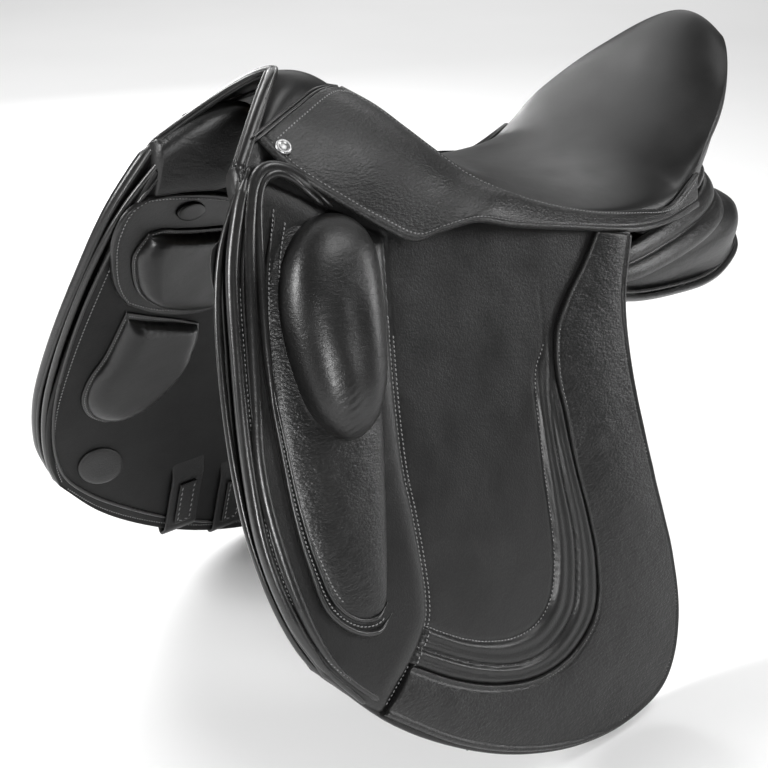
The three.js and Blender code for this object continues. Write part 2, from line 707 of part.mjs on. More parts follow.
addPair('billet_tab_rear', billetTab(slotRear), 'strap_leather');

export default saddle;
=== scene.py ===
import math

import bmesh
import bpy
import numpy as np
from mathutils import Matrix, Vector


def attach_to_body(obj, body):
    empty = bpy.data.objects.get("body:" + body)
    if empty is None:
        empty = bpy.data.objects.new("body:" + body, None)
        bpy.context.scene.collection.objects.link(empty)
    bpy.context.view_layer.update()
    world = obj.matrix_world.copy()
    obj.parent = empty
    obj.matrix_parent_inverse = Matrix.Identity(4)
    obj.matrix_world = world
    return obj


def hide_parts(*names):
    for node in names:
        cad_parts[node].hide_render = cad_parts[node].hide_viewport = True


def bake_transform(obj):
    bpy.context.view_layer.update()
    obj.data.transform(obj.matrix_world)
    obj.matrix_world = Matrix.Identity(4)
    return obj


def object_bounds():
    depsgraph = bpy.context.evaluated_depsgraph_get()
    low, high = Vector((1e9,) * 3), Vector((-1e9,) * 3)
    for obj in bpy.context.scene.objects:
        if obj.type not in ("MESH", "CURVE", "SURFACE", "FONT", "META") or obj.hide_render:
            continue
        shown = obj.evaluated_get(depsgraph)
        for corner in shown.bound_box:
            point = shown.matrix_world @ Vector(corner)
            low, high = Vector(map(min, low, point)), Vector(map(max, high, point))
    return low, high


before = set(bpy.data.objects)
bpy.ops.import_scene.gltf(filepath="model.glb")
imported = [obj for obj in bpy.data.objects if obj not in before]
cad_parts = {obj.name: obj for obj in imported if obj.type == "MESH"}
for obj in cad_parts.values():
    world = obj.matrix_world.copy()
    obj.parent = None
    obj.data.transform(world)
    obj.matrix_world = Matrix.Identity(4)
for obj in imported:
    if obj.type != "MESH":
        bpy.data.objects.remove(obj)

CAD_LOW, CAD_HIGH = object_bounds()
MM = 0.001

# ---- driving dimensions, the same as the frame's ----
LEATHER = 3.5                    # flap and skirt leather
COVER_LEATHER = 2.4              # seat, pommel and cantle leather
LAYER_GAP = 0.9                  # clearance between stacked leathers
SWEAT_OUTER, SWEAT_INNER = -12.0, -15.0
BACKING_INNER = -18.5
SEAT_REAR, SEAT_TIP = -294.0, 122.0
POMMEL_FRONT, POMMEL_TOP = 184.0, 199.0
BILLET_WIDTH = 34.0
SKIRT_SIZE = (430.0, 78.0)       # length along the seat and height of a skirt
FLAP_SIZE = (360.0, 455.0)       # width and height of a flap
SWEAT_SIZE = (350.0, 425.0)      # width and height of a sweat flap
PLATE_SIZE = (118.0, 105.0)      # leather plate under the upper pad
UPPER_PAD_SIZE = (106.0, 84.0)
LOWER_PAD_SIZE = (92.0, 90.0)
STITCH_PITCH = 3.3               # from one stitch to the next
THREAD = 0.5                     # half width of the sewing thread
SKIRT_FOLD = ((-100, 130, 53), (227, 66, 145), (0.1, 0.46, 0.88))
FLAP_FOLD = ((-42, 150, -5), (262, 57, 138), (0.11, 0.93, 0.36))
FOLD_ZONE = {"skirt": 26.0, "flap": 18.0}   # width of the zone along a fold: a piece rides with the flap or skirt only when it lies wholly past it


# ---- curves and surfaces ----

def unit(vectors):
    """The same directions at length 1."""
    return vectors / np.maximum(np.linalg.norm(vectors, axis=-1, keepdims=True), 1e-9)


def grid(us, vs):
    return np.meshgrid(us, vs, indexing="ij")


def profile(pairs):
    """A smooth function through (position, value) pairs."""
    at = np.array([p for p, _ in pairs], float)
    value = np.array([v for _, v in pairs], float)
    last = len(at) - 1
    index = np.arange(last + 1)
    before, after = np.maximum(index - 1, 0), np.minimum(index + 1, last)
    slope = (value[after] - value[before]) / (at[after] - at[before])

    def read(x):
        x = np.clip(np.asarray(x, float), at[0], at[-1])
        i = np.clip(np.searchsorted(at, x, side="right") - 1, 0, last - 1)
        step = at[i + 1] - at[i]
        s = (x - at[i]) / step
        stay = 2 * s**3 - 3 * s**2 + 1
        leave, arrive = s**3 - 2 * s**2 + s, s**3 - s**2
        return stay * value[i] + (1 - stay) * value[i + 1] + step * (leave * slope[i] + arrive * slope[i + 1])
    return read


def route(points, detail=40):
    """A smooth curve through the points (centripetal Catmull-Rom), read from 0 to 1 by length."""
    p = np.array(points, float)
    p = np.vstack([2 * p[0] - p[1], p, 2 * p[-1] - p[-2]])
    s = np.linspace(0, 1, detail + 1)[:, None]
    dense = []
    for a, b, c, d in zip(p, p[1:], p[2:], p[3:]):
        d0, d1, d2 = (max(np.linalg.norm(q - r), 1e-6) ** 0.5 for q, r in ((b, a), (c, b), (d, c)))
        leave = ((b - a) / d0 - (c - a) / (d0 + d1) + (c - b) / d1) * d1
        arrive = ((c - b) / d1 - (d - b) / (d1 + d2) + (d - c) / d2) * d1
        stay = 2 * s**3 - 3 * s**2 + 1
        bend_out, bend_in = s**3 - 2 * s**2 + s, s**3 - s**2
        dense.append((stay * b + (1 - stay) * c + bend_out * leave + bend_in * arrive)[:-1])
    dense = np.vstack([*dense, p[-2][None]])
    length = np.concatenate([[0], np.cumsum(np.linalg.norm(np.diff(dense, axis=0), axis=1))])

    def read(t):
        t = np.asarray(t, float) * length[-1]
        return np.stack([np.interp(t, length, dense[:, k]) for k in range(dense.shape[1])], -1)
    read.length = length[-1]
    return read


def patch(low, high, rear, front):
    """Coons patch: low and high run rear to front, rear and front run low to high."""
    def read(u, v):
        a, b = u[..., None], v[..., None]
        edges = low(u) * (1 - b) + high(u) * b + rear(v) * (1 - a) + front(v) * a
        corners = (low(0) * (1 - a) * (1 - b) + low(1) * a * (1 - b)
                   + high(0) * (1 - a) * b + high(1) * a * b)
        return edges - corners
    return read


def ruled(low, high):
    """A patch between two edges only, joined by straight lines."""
    return lambda u, v: low(u) * (1 - v[..., None]) + high(u) * v[..., None]


def spread(length, cell, fine=1.6):
    """Steps from 0 to 1 along a length, with fine cells by both ends for a rounded edge."""
    first = np.array([0, 0.1, 0.3, 0.6, 1.0]) * fine
    inner = max(2, int(round((length - 2 * fine) / cell)))
    return np.concatenate([first[:-1], np.linspace(fine, length - fine, inner + 1),
                           length - first[:-1][::-1]]) / length


def quarter_round(gap, radius):
    """0 at an edge and 1 from a radius inwards, as a quarter circle."""
    return np.sqrt(np.maximum(0, 1 - (1 - np.clip(gap / radius, 0, 1)) ** 2))


def edge_round(us, vs, width, height, radius):
    """1 over the middle of a sheet and down to 0 at its edges, as a quarter circle."""
    across = quarter_round(np.minimum(us, 1 - us) * width, radius)
    up = quarter_round(np.minimum(vs, 1 - vs) * height, radius)
    return across[:, None] * up[None, :]


def sheet_grid(size, cells, radius):
    """Steps both ways over a sheet of a given size, and how they round off at its edges."""
    us, vs = spread(size[0], cells[0]), spread(size[1], cells[1])
    return us, vs, *grid(us, vs), edge_round(us, vs, *size, radius)


def distance(flat, line):
    """Distance from each flat point to a line of points."""
    p = flat.reshape(-1, 2)
    best = np.full(len(p), 1e9)
    for a, b in zip(line[:-1], line[1:]):
        ab = b - a
        t = np.clip(((p - a) @ ab) / max(ab @ ab, 1e-9), 0, 1)
        best = np.minimum(best, np.linalg.norm(p - a - t[:, None] * ab, axis=1))
    return best.reshape(flat.shape[:-1])


def inside(flat, loop):
    """Which flat points lie inside a closed loop."""
    x, z = flat[..., 0], flat[..., 1]
    found = np.zeros(x.shape, bool)
    for (x1, z1), (x2, z2) in zip(loop, np.roll(loop, -1, axis=0)):
        if z1 != z2:
            found ^= ((z1 > z) != (z2 > z)) & (x < (x2 - x1) * (z - z1) / (z2 - z1) + x1)
    return found


def hump(gap, width):
    """A smooth bell: 1 where the gap is 0, fading out over the width."""
    return np.exp(-((gap / width) ** 2))


def groove(flat, line, depth, width):
    """A soft valley along a line, as a height below the surface."""
    return -depth * hump(distance(flat, line), width)


def padded_band(flat, a, b, height):
    """A stuffed roll between two seams that run side by side."""
    da, db = distance(flat, a), distance(flat, b)
    share = (da - db) / np.maximum(da + db, 1e-6)
    double_crest = 1 - 0.3 * hump(share, 0.3)
    full = np.sqrt(np.maximum(0, 1 - share**2)) * double_crest
    return np.where(inside(flat, np.vstack([a, b[::-1]])), height * full, 0)


def pillow(flat, loop, height, soft):
    """A padded area that rises from its outline over a soft width."""
    d = distance(flat, np.vstack([loop, loop[:1]]))
    return np.where(inside(flat, loop), height * quarter_round(d, soft), 0)


def ripple(p, seed, size, octaves=3):
    """A smooth irregular height from sums of waves: the same every run."""
    rng = np.random.default_rng(seed)
    total = np.zeros(p.shape[:-1])
    for octave in range(octaves):
        for _ in range(5):
            direction = rng.normal(size=p.shape[-1])
            direction /= np.linalg.norm(direction)
            phase = rng.uniform(0, 2 * math.pi)
            total += np.sin(p @ direction * (2**octave) * 2 * math.pi / size + phase) / 2**octave
    return total / 5


# ---- meshes ----
# A shape is (points, faces), in millimetres on the near side.

def grid_faces(nu, nv, flip=False, start=0):
    faces = []
    for i in range(nu - 1):
        for j in range(nv - 1):
            a = start + i * nv + j
            quad = (a, a + nv, a + nv + 1, a + 1)
            faces.append(quad[::-1] if flip else quad)
    return faces


def ring_faces(rings, sides, start=0):
    """Faces of a form made of rings of points, with both ends filled."""
    faces = []
    for i in range(rings - 1):
        for j in range(sides):
            a, b = start + i * sides + j, start + i * sides + (j + 1) % sides
            faces.append((a, b, b + sides, a + sides))
    faces.append(tuple(start + j for j in range(sides))[::-1])
    faces.append(tuple(start + (rings - 1) * sides + j for j in range(sides)))
    return faces


def sheet(top, bottom):
    """A closed shape from two grids of points that meet along their edges."""
    nu, nv = top.shape[:2]
    points = np.vstack([top.reshape(-1, 3), bottom.reshape(-1, 3)])
    return points, grid_faces(nu, nv, True) + grid_faces(nu, nv, False, nu * nv)


def pinched(outer, inner, share=0.5):
    """A closed shape from two grids that are drawn together along their edges, at a share of the way in."""
    edge = np.zeros(outer.shape[:2], bool)
    edge[0, :] = edge[-1, :] = edge[:, 0] = edge[:, -1] = True
    meet = outer[edge] * (1 - share) + inner[edge] * share
    outer[edge] = inner[edge] = meet
    return sheet(outer, inner)


def tube(path, across, normals, high=None, sides=12):
    """A roll along a path with rounded ends: half width across the normal, half height high along it."""
    n = len(path)
    tangent = unit(np.gradient(path, axis=0))
    side = unit(np.cross(normals, tangent))
    up = np.cross(tangent, side)
    step = np.arange(n)
    ends = np.maximum(np.sqrt(np.clip(np.minimum(step, step[::-1]) / 2.5, 0, 1)), 0.02)
    high = (across if high is None else high) * ends
    across = across * ends
    angle = np.linspace(0, 2 * math.pi, sides, endpoint=False)
    ring = (path[:, None] + side[:, None] * (across[:, None] * np.cos(angle))[..., None]
            + up[:, None] * (high[:, None] * np.sin(angle))[..., None])
    return ring.reshape(-1, 3), ring_faces(n, sides)


def stitches(path, normals, pitch=STITCH_PITCH, fill=0.68, thread=THREAD, slant=0.16, sunk=0.1):
    """A row of sewn stitches along a path, each a short thread that dips into the leather at both ends."""
    length = np.concatenate([[0], np.cumsum(np.linalg.norm(np.diff(path, axis=0), axis=1))])
    count = max(1, int(length[-1] / pitch))
    middle = (np.arange(count) + 0.5) * length[-1] / count

    def at(values, t):
        return np.stack([np.interp(t, length, values[:, k]) for k in range(3)], -1)
    tangent = unit(at(path, middle + 0.3) - at(path, middle - 0.3))
    up = unit(at(normals, middle))
    side = np.cross(up, tangent)
    tangent = tangent + side * slant
    centre = at(path, middle)
    half = pitch * fill / 2
    points, sides = [], 6
    stations = [(-1, 0.35, -0.9), (-0.72, 0.9, -0.1), (0, 1.05, 0.35), (0.72, 0.9, -0.1), (1, 0.35, -0.9)]
    angle = np.linspace(0, 2 * math.pi, sides, endpoint=False)
    for along, thick, rise in stations:
        base = centre + tangent * half * along + up * (rise * thread - sunk)
        ring = (base[:, None] + side[:, None] * (thread * thick * np.cos(angle))[None, :, None]
                + up[:, None] * (0.8 * thread * thick * np.sin(angle))[None, :, None])
        points.append(ring)
    points = np.stack(points, 1).reshape(-1, 3)
    faces = []
    for s in range(count):
        faces += ring_faces(len(stations), sides, s * sides * len(stations))
    return points, faces


def joined(*shapes):
    points, faces, start = [], [], 0
    for p, f in shapes:
        points.append(p)
        faces += [tuple(i + start for i in face) for face in f]
        start += len(p)
    return np.vstack(points), faces


def make(name, shape, material, side=1):
    """A Blender mesh from a shape; side -1 mirrors it to the off side."""
    points, faces = shape
    points = np.asarray(points, float) * [MM, side * MM, MM]
    mesh = bpy.data.meshes.new(name)
    mesh.from_pydata(points.tolist(), [], faces)
    edit = bmesh.new()
    edit.from_mesh(mesh)
    bmesh.ops.remove_doubles(edit, verts=edit.verts, dist=1e-6)
    bmesh.ops.recalc_face_normals(edit, faces=edit.faces)
    edit.to_mesh(mesh)
    edit.free()
    mesh.polygons.foreach_set("use_smooth", [True] * len(mesh.polygons))
    mesh.materials.append(material)
    piece = bpy.data.objects.new(name, mesh)
    bpy.context.scene.collection.objects.link(piece)
    return piece


def fold_planes(fold, zone, side):
    rear, front, out = (np.array(v, float) for v in fold)
    normal = unit(np.cross(front - rear, out))
    mirror = [MM, side * MM, MM]
    return tuple((rear + normal * zone / 2) * mirror), tuple((rear - normal * zone / 2) * mirror)


def attach(piece, body, side):
    """Rides on the tree, or on a flap or skirt when the whole piece lies past its fold zone; a piece that
    reaches into the zone is left where it stands, not attached to any body.
    """
    if body == "tree":
        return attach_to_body(piece, "tree")
    name = f"{body}_{'left' if side > 0 else 'right'}"
    start, end = fold_planes(FLAP_FOLD if body == "flap" else SKIRT_FOLD, FOLD_ZONE[body], side)
    start, end = np.array(start), np.array(end)
    points = np.array([v.co for v in piece.data.vertices])
    share = ((points - start) @ (end - start)) / ((end - start) @ (end - start))
    if share.min() >= 1:
        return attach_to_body(piece, name)
    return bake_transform(piece)


def pair(name, shape, material, body, replaces=()):
    """The near piece and its mirror on the off side."""
    for label, side in (("left", 1), ("right", -1)):
        piece = make(f"{name}_{label}", shape, material, side)
        attach(piece, body, side)
        if replaces:
            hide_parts(*[f"{node}_{label}" for node in replaces])


def single(name, shape, material, replaces=()):
    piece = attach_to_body(make(name, shape, material), "tree")
    if replaces:
        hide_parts(*replaces)


# ---- materials ----

class Nodes:
    """A material's node tree, built by short calls."""

    def __init__(self, name):
        self.material = bpy.data.materials.new(name)
        self.material.use_nodes = True
        self.tree = self.material.node_tree
        self.shader = self.tree.nodes["Principled BSDF"]

    def add(self, kind, **inputs):
        node = self.tree.nodes.new(kind)
        for key, value in inputs.items():
            self.put(node.inputs[key], value)
        return node

    def surface(self, color, rough, normal):
        for key, value in (("Base Color", color), ("Roughness", rough), ("Normal", normal)):
            self.put(self.shader.inputs[key], value)
        return self.material

    def put(self, socket, value):
        if isinstance(value, bpy.types.NodeSocket):
            self.tree.links.new(value, socket)
        else:
            socket.default_value = value

    def mapped(self, size_mm, stretch=(1, 1, 1)):
        """Object coordinates in units of a pattern's size, stretched along the axes."""
        where = self.add("ShaderNodeTexCoord").outputs["Object"]
        scale = [1 / (size_mm * MM * s) for s in stretch]
        return self.add("ShaderNodeMapping", Vector=where, Scale=scale).outputs["Vector"]

    def noise(self, size_mm, detail=3.0, rough=0.55, stretch=(1, 1, 1), distortion=0.0):
        return self.add("ShaderNodeTexNoise", Vector=self.mapped(size_mm, stretch), Scale=1.0, Detail=detail,
                        Roughness=rough, Distortion=distortion).outputs["Fac"]

    def cells(self, size_mm, stretch=(1, 1, 1)):
        """Rounded pebbles: height 0 in the creases and 1 on top of each pebble."""
        node = self.add("ShaderNodeTexVoronoi")
        node.feature = "SMOOTH_F1"
        for key, value in (("Vector", self.mapped(size_mm, stretch)), ("Scale", 1.0), ("Smoothness", 0.35),
                           ("Randomness", 1.0)):
            self.put(node.inputs[key], value)
        return self.span(node.outputs["Distance"], 0.0, 0.75, 1.0, 0.0)

    def span(self, value, low, high, to_low, to_high):
        node = self.add("ShaderNodeMapRange")
        node.clamp = True
        for key, v in (("Value", value), ("From Min", low), ("From Max", high),
                       ("To Min", to_low), ("To Max", to_high)):
            self.put(node.inputs[key], v)
        return node.outputs["Result"]

    def math(self, operation, a, b):
        node = self.add("ShaderNodeMath")
        node.operation = operation
        self.put(node.inputs[0], a)
        self.put(node.inputs[1], b)
        return node.outputs[0]

    def mix(self, share, a, b):
        node = self.add("ShaderNodeMix")
        node.data_type = "RGBA"
        self.put(node.inputs["Factor"], share)
        self.put(node.inputs[6], a)
        self.put(node.inputs[7], b)
        return node.outputs[2]

    def bump(self, height, depth_mm, below=None):
        node = self.add("ShaderNodeBump", Strength=1.0, Distance=depth_mm * MM, Height=height)
        if below is not None:
            self.put(node.inputs["Normal"], below)
        return node.outputs["Normal"]


def grey(value, warm=0.0):
    return (value * (1 + warm), value, value * (1 - 0.6 * warm), 1.0)


def leather_material(name, tone, rough, grain_mm, grain_depth, wrinkle_depth=0.0, wrinkle_mm=9.0,
                     stretch=(1, 1, 1), coat=0.12, gloss=0.42):
    """Dyed leather: pebbled grain, fine pores, slow wrinkles, uneven dye and polish, painted shade in the
    grain's creases, and convex edges lightened both as rub wear and as painted highlight.
    """
    n = Nodes(name)
    pebble = n.cells(grain_mm, stretch)
    fine = n.cells(grain_mm * 0.45, stretch)
    pores = n.noise(grain_mm * 0.3, 2.0, 0.6)
    cloud = n.noise(38.0, 3.0, 0.6)
    patchy = n.noise(120.0, 2.0, 0.5)
    mixed = n.math("ADD", n.math("MULTIPLY", pebble, 0.62), n.math("MULTIPLY", fine, 0.28))
    mixed = n.math("ADD", mixed, n.math("MULTIPLY", pores, 0.16))
    depth = n.span(cloud, 0.3, 0.7, 0.55, 1.15)
    height = n.math("MULTIPLY", mixed, depth)
    normal = None
    if wrinkle_depth:
        wrinkle = n.noise(wrinkle_mm, 4.0, 0.62, stretch=(2.1, 1.4, 0.8), distortion=0.7)
        normal = n.bump(wrinkle, wrinkle_depth)
    normal = n.bump(height, grain_depth, below=normal)
    dye = n.mix(n.span(patchy, 0.35, 0.65, 0.0, 1.0), grey(tone * 0.82), grey(tone * 1.15, 0.03))
    # Painted shade: the creases between the pebbles are darkened to 0.55 of the tone.
    crease_shaded = n.mix(n.span(pebble, 0.1, 0.5, 0.0, 1.0), grey(tone * 0.55), dye)
    # Painted highlight: convex edges (by pointiness) are lightened towards 2.6 times the tone, standing for
    # rub wear and for the highlight that catches there.
    wear_and_highlight = n.span(n.add("ShaderNodeNewGeometry").outputs["Pointiness"], 0.505, 0.56, 0.0, 0.35)
    patches = n.math("ADD", cloud, n.math("MULTIPLY", pores, 0.4))
    polish = n.span(patches, 0.35, 1.0, rough - 0.07, rough + 0.11)
    for key, value in (("Specular IOR Level", gloss), ("Coat Weight", coat), ("Coat Roughness", 0.28)):
        n.put(n.shader.inputs[key], value)
    return n.surface(n.mix(wear_and_highlight, crease_shaded, grey(tone * 2.6, 0.02)), polish, normal)


def thread_material():
    n = Nodes("waxed_thread")
    twist = n.noise(0.5, 2.0, 0.5, stretch=(1, 1, 3))
    return n.surface(n.mix(twist, grey(0.13), grey(0.3)), 0.5, n.bump(twist, 0.12))


def steel_material(name, dark, bright, rough):
    n = Nodes(name)
    scratches = n.noise(1.2, 4.0, 0.7, stretch=(8, 1, 1))
    cloud = n.noise(9.0, 3.0, 0.5)
    n.shader.inputs["Metallic"].default_value = 1.0
    brushed = n.span(scratches, 0.3, 0.75, rough - 0.08, rough + 0.1)
    return n.surface(n.mix(cloud, grey(dark), grey(bright)), brushed, n.bump(scratches, 0.02))


def wood_material():
    n = Nodes("laminated_beech")
    grain = n.noise(5.0, 5.0, 0.6, stretch=(9, 1, 1), distortion=0.4)
    fleck = n.noise(0.9, 2.0, 0.5, stretch=(6, 1, 1))
    pale, dark = (0.56, 0.38, 0.21, 1), (0.33, 0.19, 0.09, 1)
    return n.surface(n.mix(n.span(grain, 0.35, 0.7, 0, 1), pale, dark), n.span(fleck, 0.3, 0.7, 0.42, 0.62),
                     n.bump(n.math("ADD", grain, fleck), 0.15))


def webbing_material():
    n = Nodes("woven_webbing")
    warp = n.add("ShaderNodeTexWave")
    weft = n.add("ShaderNodeTexWave")
    weft.bands_direction = "Y"
    for wave in (warp, weft):
        n.put(wave.inputs["Vector"], n.mapped(2.2))
        wave.inputs["Scale"].default_value = 0.3
        wave.inputs["Distortion"].default_value = 0.6
    weave = n.math("MULTIPLY", warp.outputs["Fac"], weft.outputs["Fac"])
    fuzz = n.noise(2.0, 4.0, 0.6)
    dark, pale = (0.27, 0.22, 0.15, 1), (0.56, 0.49, 0.37, 1)
    return n.surface(n.mix(weave, dark, pale), n.span(fuzz, 0.3, 0.7, 0.8, 0.95), n.bump(weave, 0.35))


SMOOTH = leather_material("smooth_leather", 0.0085, 0.36, 1.5, 0.17, 0.2, 6.0)
SEAT = leather_material("seat_leather", 0.006, 0.39, 0.9, 0.06, 0.12, 24.0, coat=0.08, gloss=0.36)
GRAIN = leather_material("grain_leather", 0.009, 0.34, 2.0, 0.34, 0.6, 5.0, stretch=(1.35, 1, 0.8))
SKIRT = leather_material("skirt_leather", 0.011, 0.38, 2.0, 0.6, 0.45, 6.0, stretch=(1.6, 1, 0.8))
PANEL = leather_material("panel_leather", 0.007, 0.38, 1.6, 0.16, 0.9, 14.0, coat=0.08)
PAD = leather_material("pad_leather", 0.009, 0.30, 1.0, 0.06, 0.3, 14.0, coat=0.25)
BLOCK = leather_material("block_leather", 0.0085, 0.35, 1.2, 0.10, 0.4, 4.0, stretch=(1, 1, 0.5), coat=0.12)
STRAP = leather_material("strap_leather", 0.007, 0.50, 1.6, 0.18, 0.3, 8.0, coat=0.03)
SWEAT = leather_material("sweat_leather", 0.0045, 0.58, 1.4, 0.1, 0.15, 12.0, coat=0.02, gloss=0.34)
EDGE = leather_material("edge_leather", 0.010, 0.27, 1.4, 0.08, 0.2, 4.0, coat=0.35)
THREADS = thread_material()
STEEL = steel_material("polished_steel", 0.55, 0.78, 0.24)
DULL_STEEL = steel_material("satin_steel", 0.3, 0.5, 0.4)
WOOD = wood_material()
WEBBING = webbing_material()


# ---- top line of the saddle ----

crest = profile([(-294, 178), (-284, 188), (-252, 169), (-216, 136), (-174, 104), (-130, 86), (-80, 80),
                 (-30, 85), (20, 103), (60, 129), (100, 159), (140, 184), (168, 196), (186, 200)])
seat_half = profile([(-294, 9), (-290, 28), (-280, 47), (-256, 70), (-226, 89), (-184, 104.5), (-147, 112),
                     (-100, 114), (-50, 111), (0, 101), (30, 87), (60, 67), (90, 44), (110, 22), (122, 4)])
side_half = profile([(-294, 9), (-290, 28), (-280, 47), (-256, 70), (-226, 89), (-184, 104.5), (-147, 112),
                     (-100, 114), (-50, 111), (0, 101), (50, 77), (100, 66), (150, 56), (186, 51), (250, 51)])
side_height = profile([(-294, 176), (-280, 170), (-256, 151), (-226, 128), (-192, 103), (-168, 82),
                       (-147, 68), (-100, 65), (-50, 71), (0, 84), (50, 104), (100, 130), (150, 146),
                       (186, 149), (250, 149)])
roundness = profile([(-294, 2), (-175, 2.4), (-60, 2.8), (40, 2.2), (110, 1.7), (186, 1.4)])


def skin(x, y):
    """Height of the seat and pommel leather."""
    soft = 8
    power = roundness(x)
    rise = (y * y + soft * soft) ** (power / 2) - soft**power
    full = (side_half(x) ** 2 + soft * soft) ** (power / 2) - soft**power
    return crest(x) - (crest(x) - side_height(x)) * rise / full


def bend(y, flat, slope):
    return np.sqrt(flat * flat + slope * slope * y * y) - flat


def pommel_edge(y):
    return np.stack([POMMEL_FRONT + bend(y, 6, 1.45), y, POMMEL_TOP - bend(y, 18, 1.3)], -1)


def seat_shape():
    """The stretched seat leather: its side edges tuck into the seam, its rear rim rolls over the cantle."""
    u, v = grid(np.linspace(0, 1, 150), np.linspace(-1, 1, 90))
    x = SEAT_REAR + (SEAT_TIP - SEAT_REAR) * u**1.25
    y = np.sin(v * math.pi / 2 * 0.999) / math.sin(math.pi / 2 * 0.999) * seat_half(x)
    gap = seat_half(x) - np.abs(y)
    tuck = profile([(-294, 0), (-200, 0), (-165, 1.0), (122, 1.0)])(x)
    seam_depth, seam_width = 5.0, 2.6
    top = np.stack([x, y, skin(x, y) - seam_depth * tuck * np.exp(-gap / seam_width)], -1)
    nu, nv = x.shape
    index = np.arange(nu * nv).reshape(nu, nv)
    loop = np.concatenate([index[0, :-1], index[:-1, -1], index[-1, :0:-1], index[:0:-1, 0]])
    flat = top.reshape(-1, 3)
    edge = flat[loop]
    tangent = np.roll(edge, -3, axis=0) - np.roll(edge, 3, axis=0)
    out = unit(np.stack([tangent[:, 1], -tangent[:, 0], np.zeros(len(edge))], -1))
    out *= np.sign((out * (edge - [-100, 0, 0])).sum(1))[:, None]
    drop = profile([(-294, 8.0), (-235, 7.0), (-190, 4.0), (-165, 1.6), (122, 1.2)])(edge[:, 0])
    rim = np.minimum(0.26 * drop, 1.6)
    rings = []
    for angle in np.radians([18, 40, 65, 90, 115, 140, 160]):
        rings.append(edge + out * (rim * math.sin(angle))[:, None]
                     - [0, 0, 1] * (drop * (1 - math.cos(angle)))[:, None])
    points = [flat, *rings, rings[-1] * [0.985, 0.985, 1] - [0, 0, 7]]
    faces = grid_faces(nu, nv)
    count = len(loop)
    before = loop
    start = nu * nv
    for _ in range(len(rings) + 1):
        now = np.arange(start, start + count)
        for k in range(count):
            faces.append((before[k], now[k], now[(k + 1) % count], before[(k + 1) % count]))
        before, start = now, start + count
    floor = top - [0, 0, 18]
    floor[..., 0] = floor[..., 0] * 0.96
    floor[..., 1] *= 0.86
    points.append(floor.reshape(-1, 3))
    inner = start + loop
    for k in range(count):
        faces.append((before[k], inner[k], inner[(k + 1) % count], before[(k + 1) % count]))
    faces += grid_faces(nu, nv, True, start)
    return np.vstack(points), [tuple(int(i) for i in f) for f in faces]


# ---- pommel and cantle ----

cover_seam = route([(130, 0, 178), (146, 10, 182), (164, 18, 183), (196, 29, 176), (238, 43, 165)])
cover_front = route(pommel_edge(43 * np.linspace(0, 1, 9)))


def pommel_point(u, s):
    """u 0 at the seam and 1 at the front edge, s -1 to 1 across."""
    rear, front = cover_seam(np.abs(s)), cover_front(np.abs(s))
    point = rear * (1 - u[..., None]) + front * u[..., None]
    crown = 5 * np.sin(math.pi * u) * (1 - s * s)
    point[..., 1] *= np.sign(s)
    point[..., 2] += crown - 0.6
    return point


def pommel_cover_shape():
    length, width = 52, 110
    _, _, u, v, soft = sheet_grid((length, width), (1.6, 1.6), 1.4)
    half = np.array([0, 0, COVER_LEATHER / 2])
    middle = pommel_point(u, 2 * v - 1) - half
    return sheet(middle + half * soft[..., None], middle - half * soft[..., None])


def both_ways(points):
    """A route from the midline outwards, continued as its mirror on the off side."""
    points = np.array(points, float)
    return np.vstack([points[::-1], points[1:] * [1, -1, 1]])


def pommel_trim():
    """Twin welts along the pommel seam and the flat band with piping round the pommel arch."""
    t = np.linspace(0, 1, 60)
    line = both_ways(cover_seam(t) + [0, 0, 0.2])
    up = np.tile([0.1, 0, 1.0], (len(line), 1)) + line[:, 1:2] * [0, 1 / 60, 0]
    across = unit(np.cross(up, unit(np.gradient(line, axis=0))))
    welts = [tube(line + across * k, 1.25, up, sides=10) for k in (-1.7, 1.7)]
    y = np.linspace(-50, 50, 141)
    arch = pommel_edge(y) + [5.0, 0, -1.2]
    normal = np.stack([0.35 * np.ones_like(y), y / 60, np.ones_like(y)], -1)
    band = tube(arch, 4.6, normal, high=3.4, sides=18)
    side = unit(np.cross(normal, np.gradient(arch, axis=0)))
    piping = [tube(arch + side * k + unit(normal) * 1.6, 1.3, normal, sides=10) for k in (-4.0, 4.0)]
    return joined(*welts), joined(band, *piping)


def cantle_shape():
    """Leather over the back of the cantle, from the rim down to the rear roll."""
    low, sweep = 58.0, 1.05 * math.pi
    u, v = grid(np.linspace(0, 1, 40), np.linspace(0, 1, 120))
    angle = sweep * (v - 0.5)

    def wall(inward):
        pinch = 0.7 + 0.3 * u + 0.035 * np.sin(math.pi * u)
        reach = 117 * pinch - inward
        x = -170 - reach * np.cos(angle)
        y = (101 * (0.93 + 0.07 * u) - inward) * np.sin(angle)
        rim = np.maximum(np.minimum(skin(np.minimum(x, -176), y), skin(x, y)) - 6.0, low + 6)
        return np.stack([x, y, low + (rim - low) * u], -1)
    return pinched(wall(0), wall(COVER_LEATHER))


def rear_trim():
    """The padded roll round the back of the seat with its sewn lip."""
    half = np.array([(-262, 0, 65), (-255, 35, 64), (-238, 62, 62), (-205, 84, 59), (-160, 99, 51),
                     (-100, 108, 44)], float)
    line = route(both_ways(half))(np.linspace(0, 1, 220))
    out = unit(line - [-160, 0, 60])
    roll = tube(line, 5.0, out, high=6.2, sides=14)
    lip = tube(line + out * 1.0 + [0, 0, 7.0], 1.6, out, sides=10)
    return joined(roll, lip)


# ---- skirts ----

SEAM_X = [-172, -130, -90, -40, 0, 30, 55, 78, 98, 112]
SEAM_GAP = 4.2                   # from the seat's edge to the skirt's
WELT_INSET = 2.3                 # from the skirt's seam back towards the seat


def seam_point(x):
    sunk = 1.5 if x > -120 else 4.5
    return x, float(seat_half(x)) + SEAM_GAP, float(skin(x, seat_half(x))) - sunk


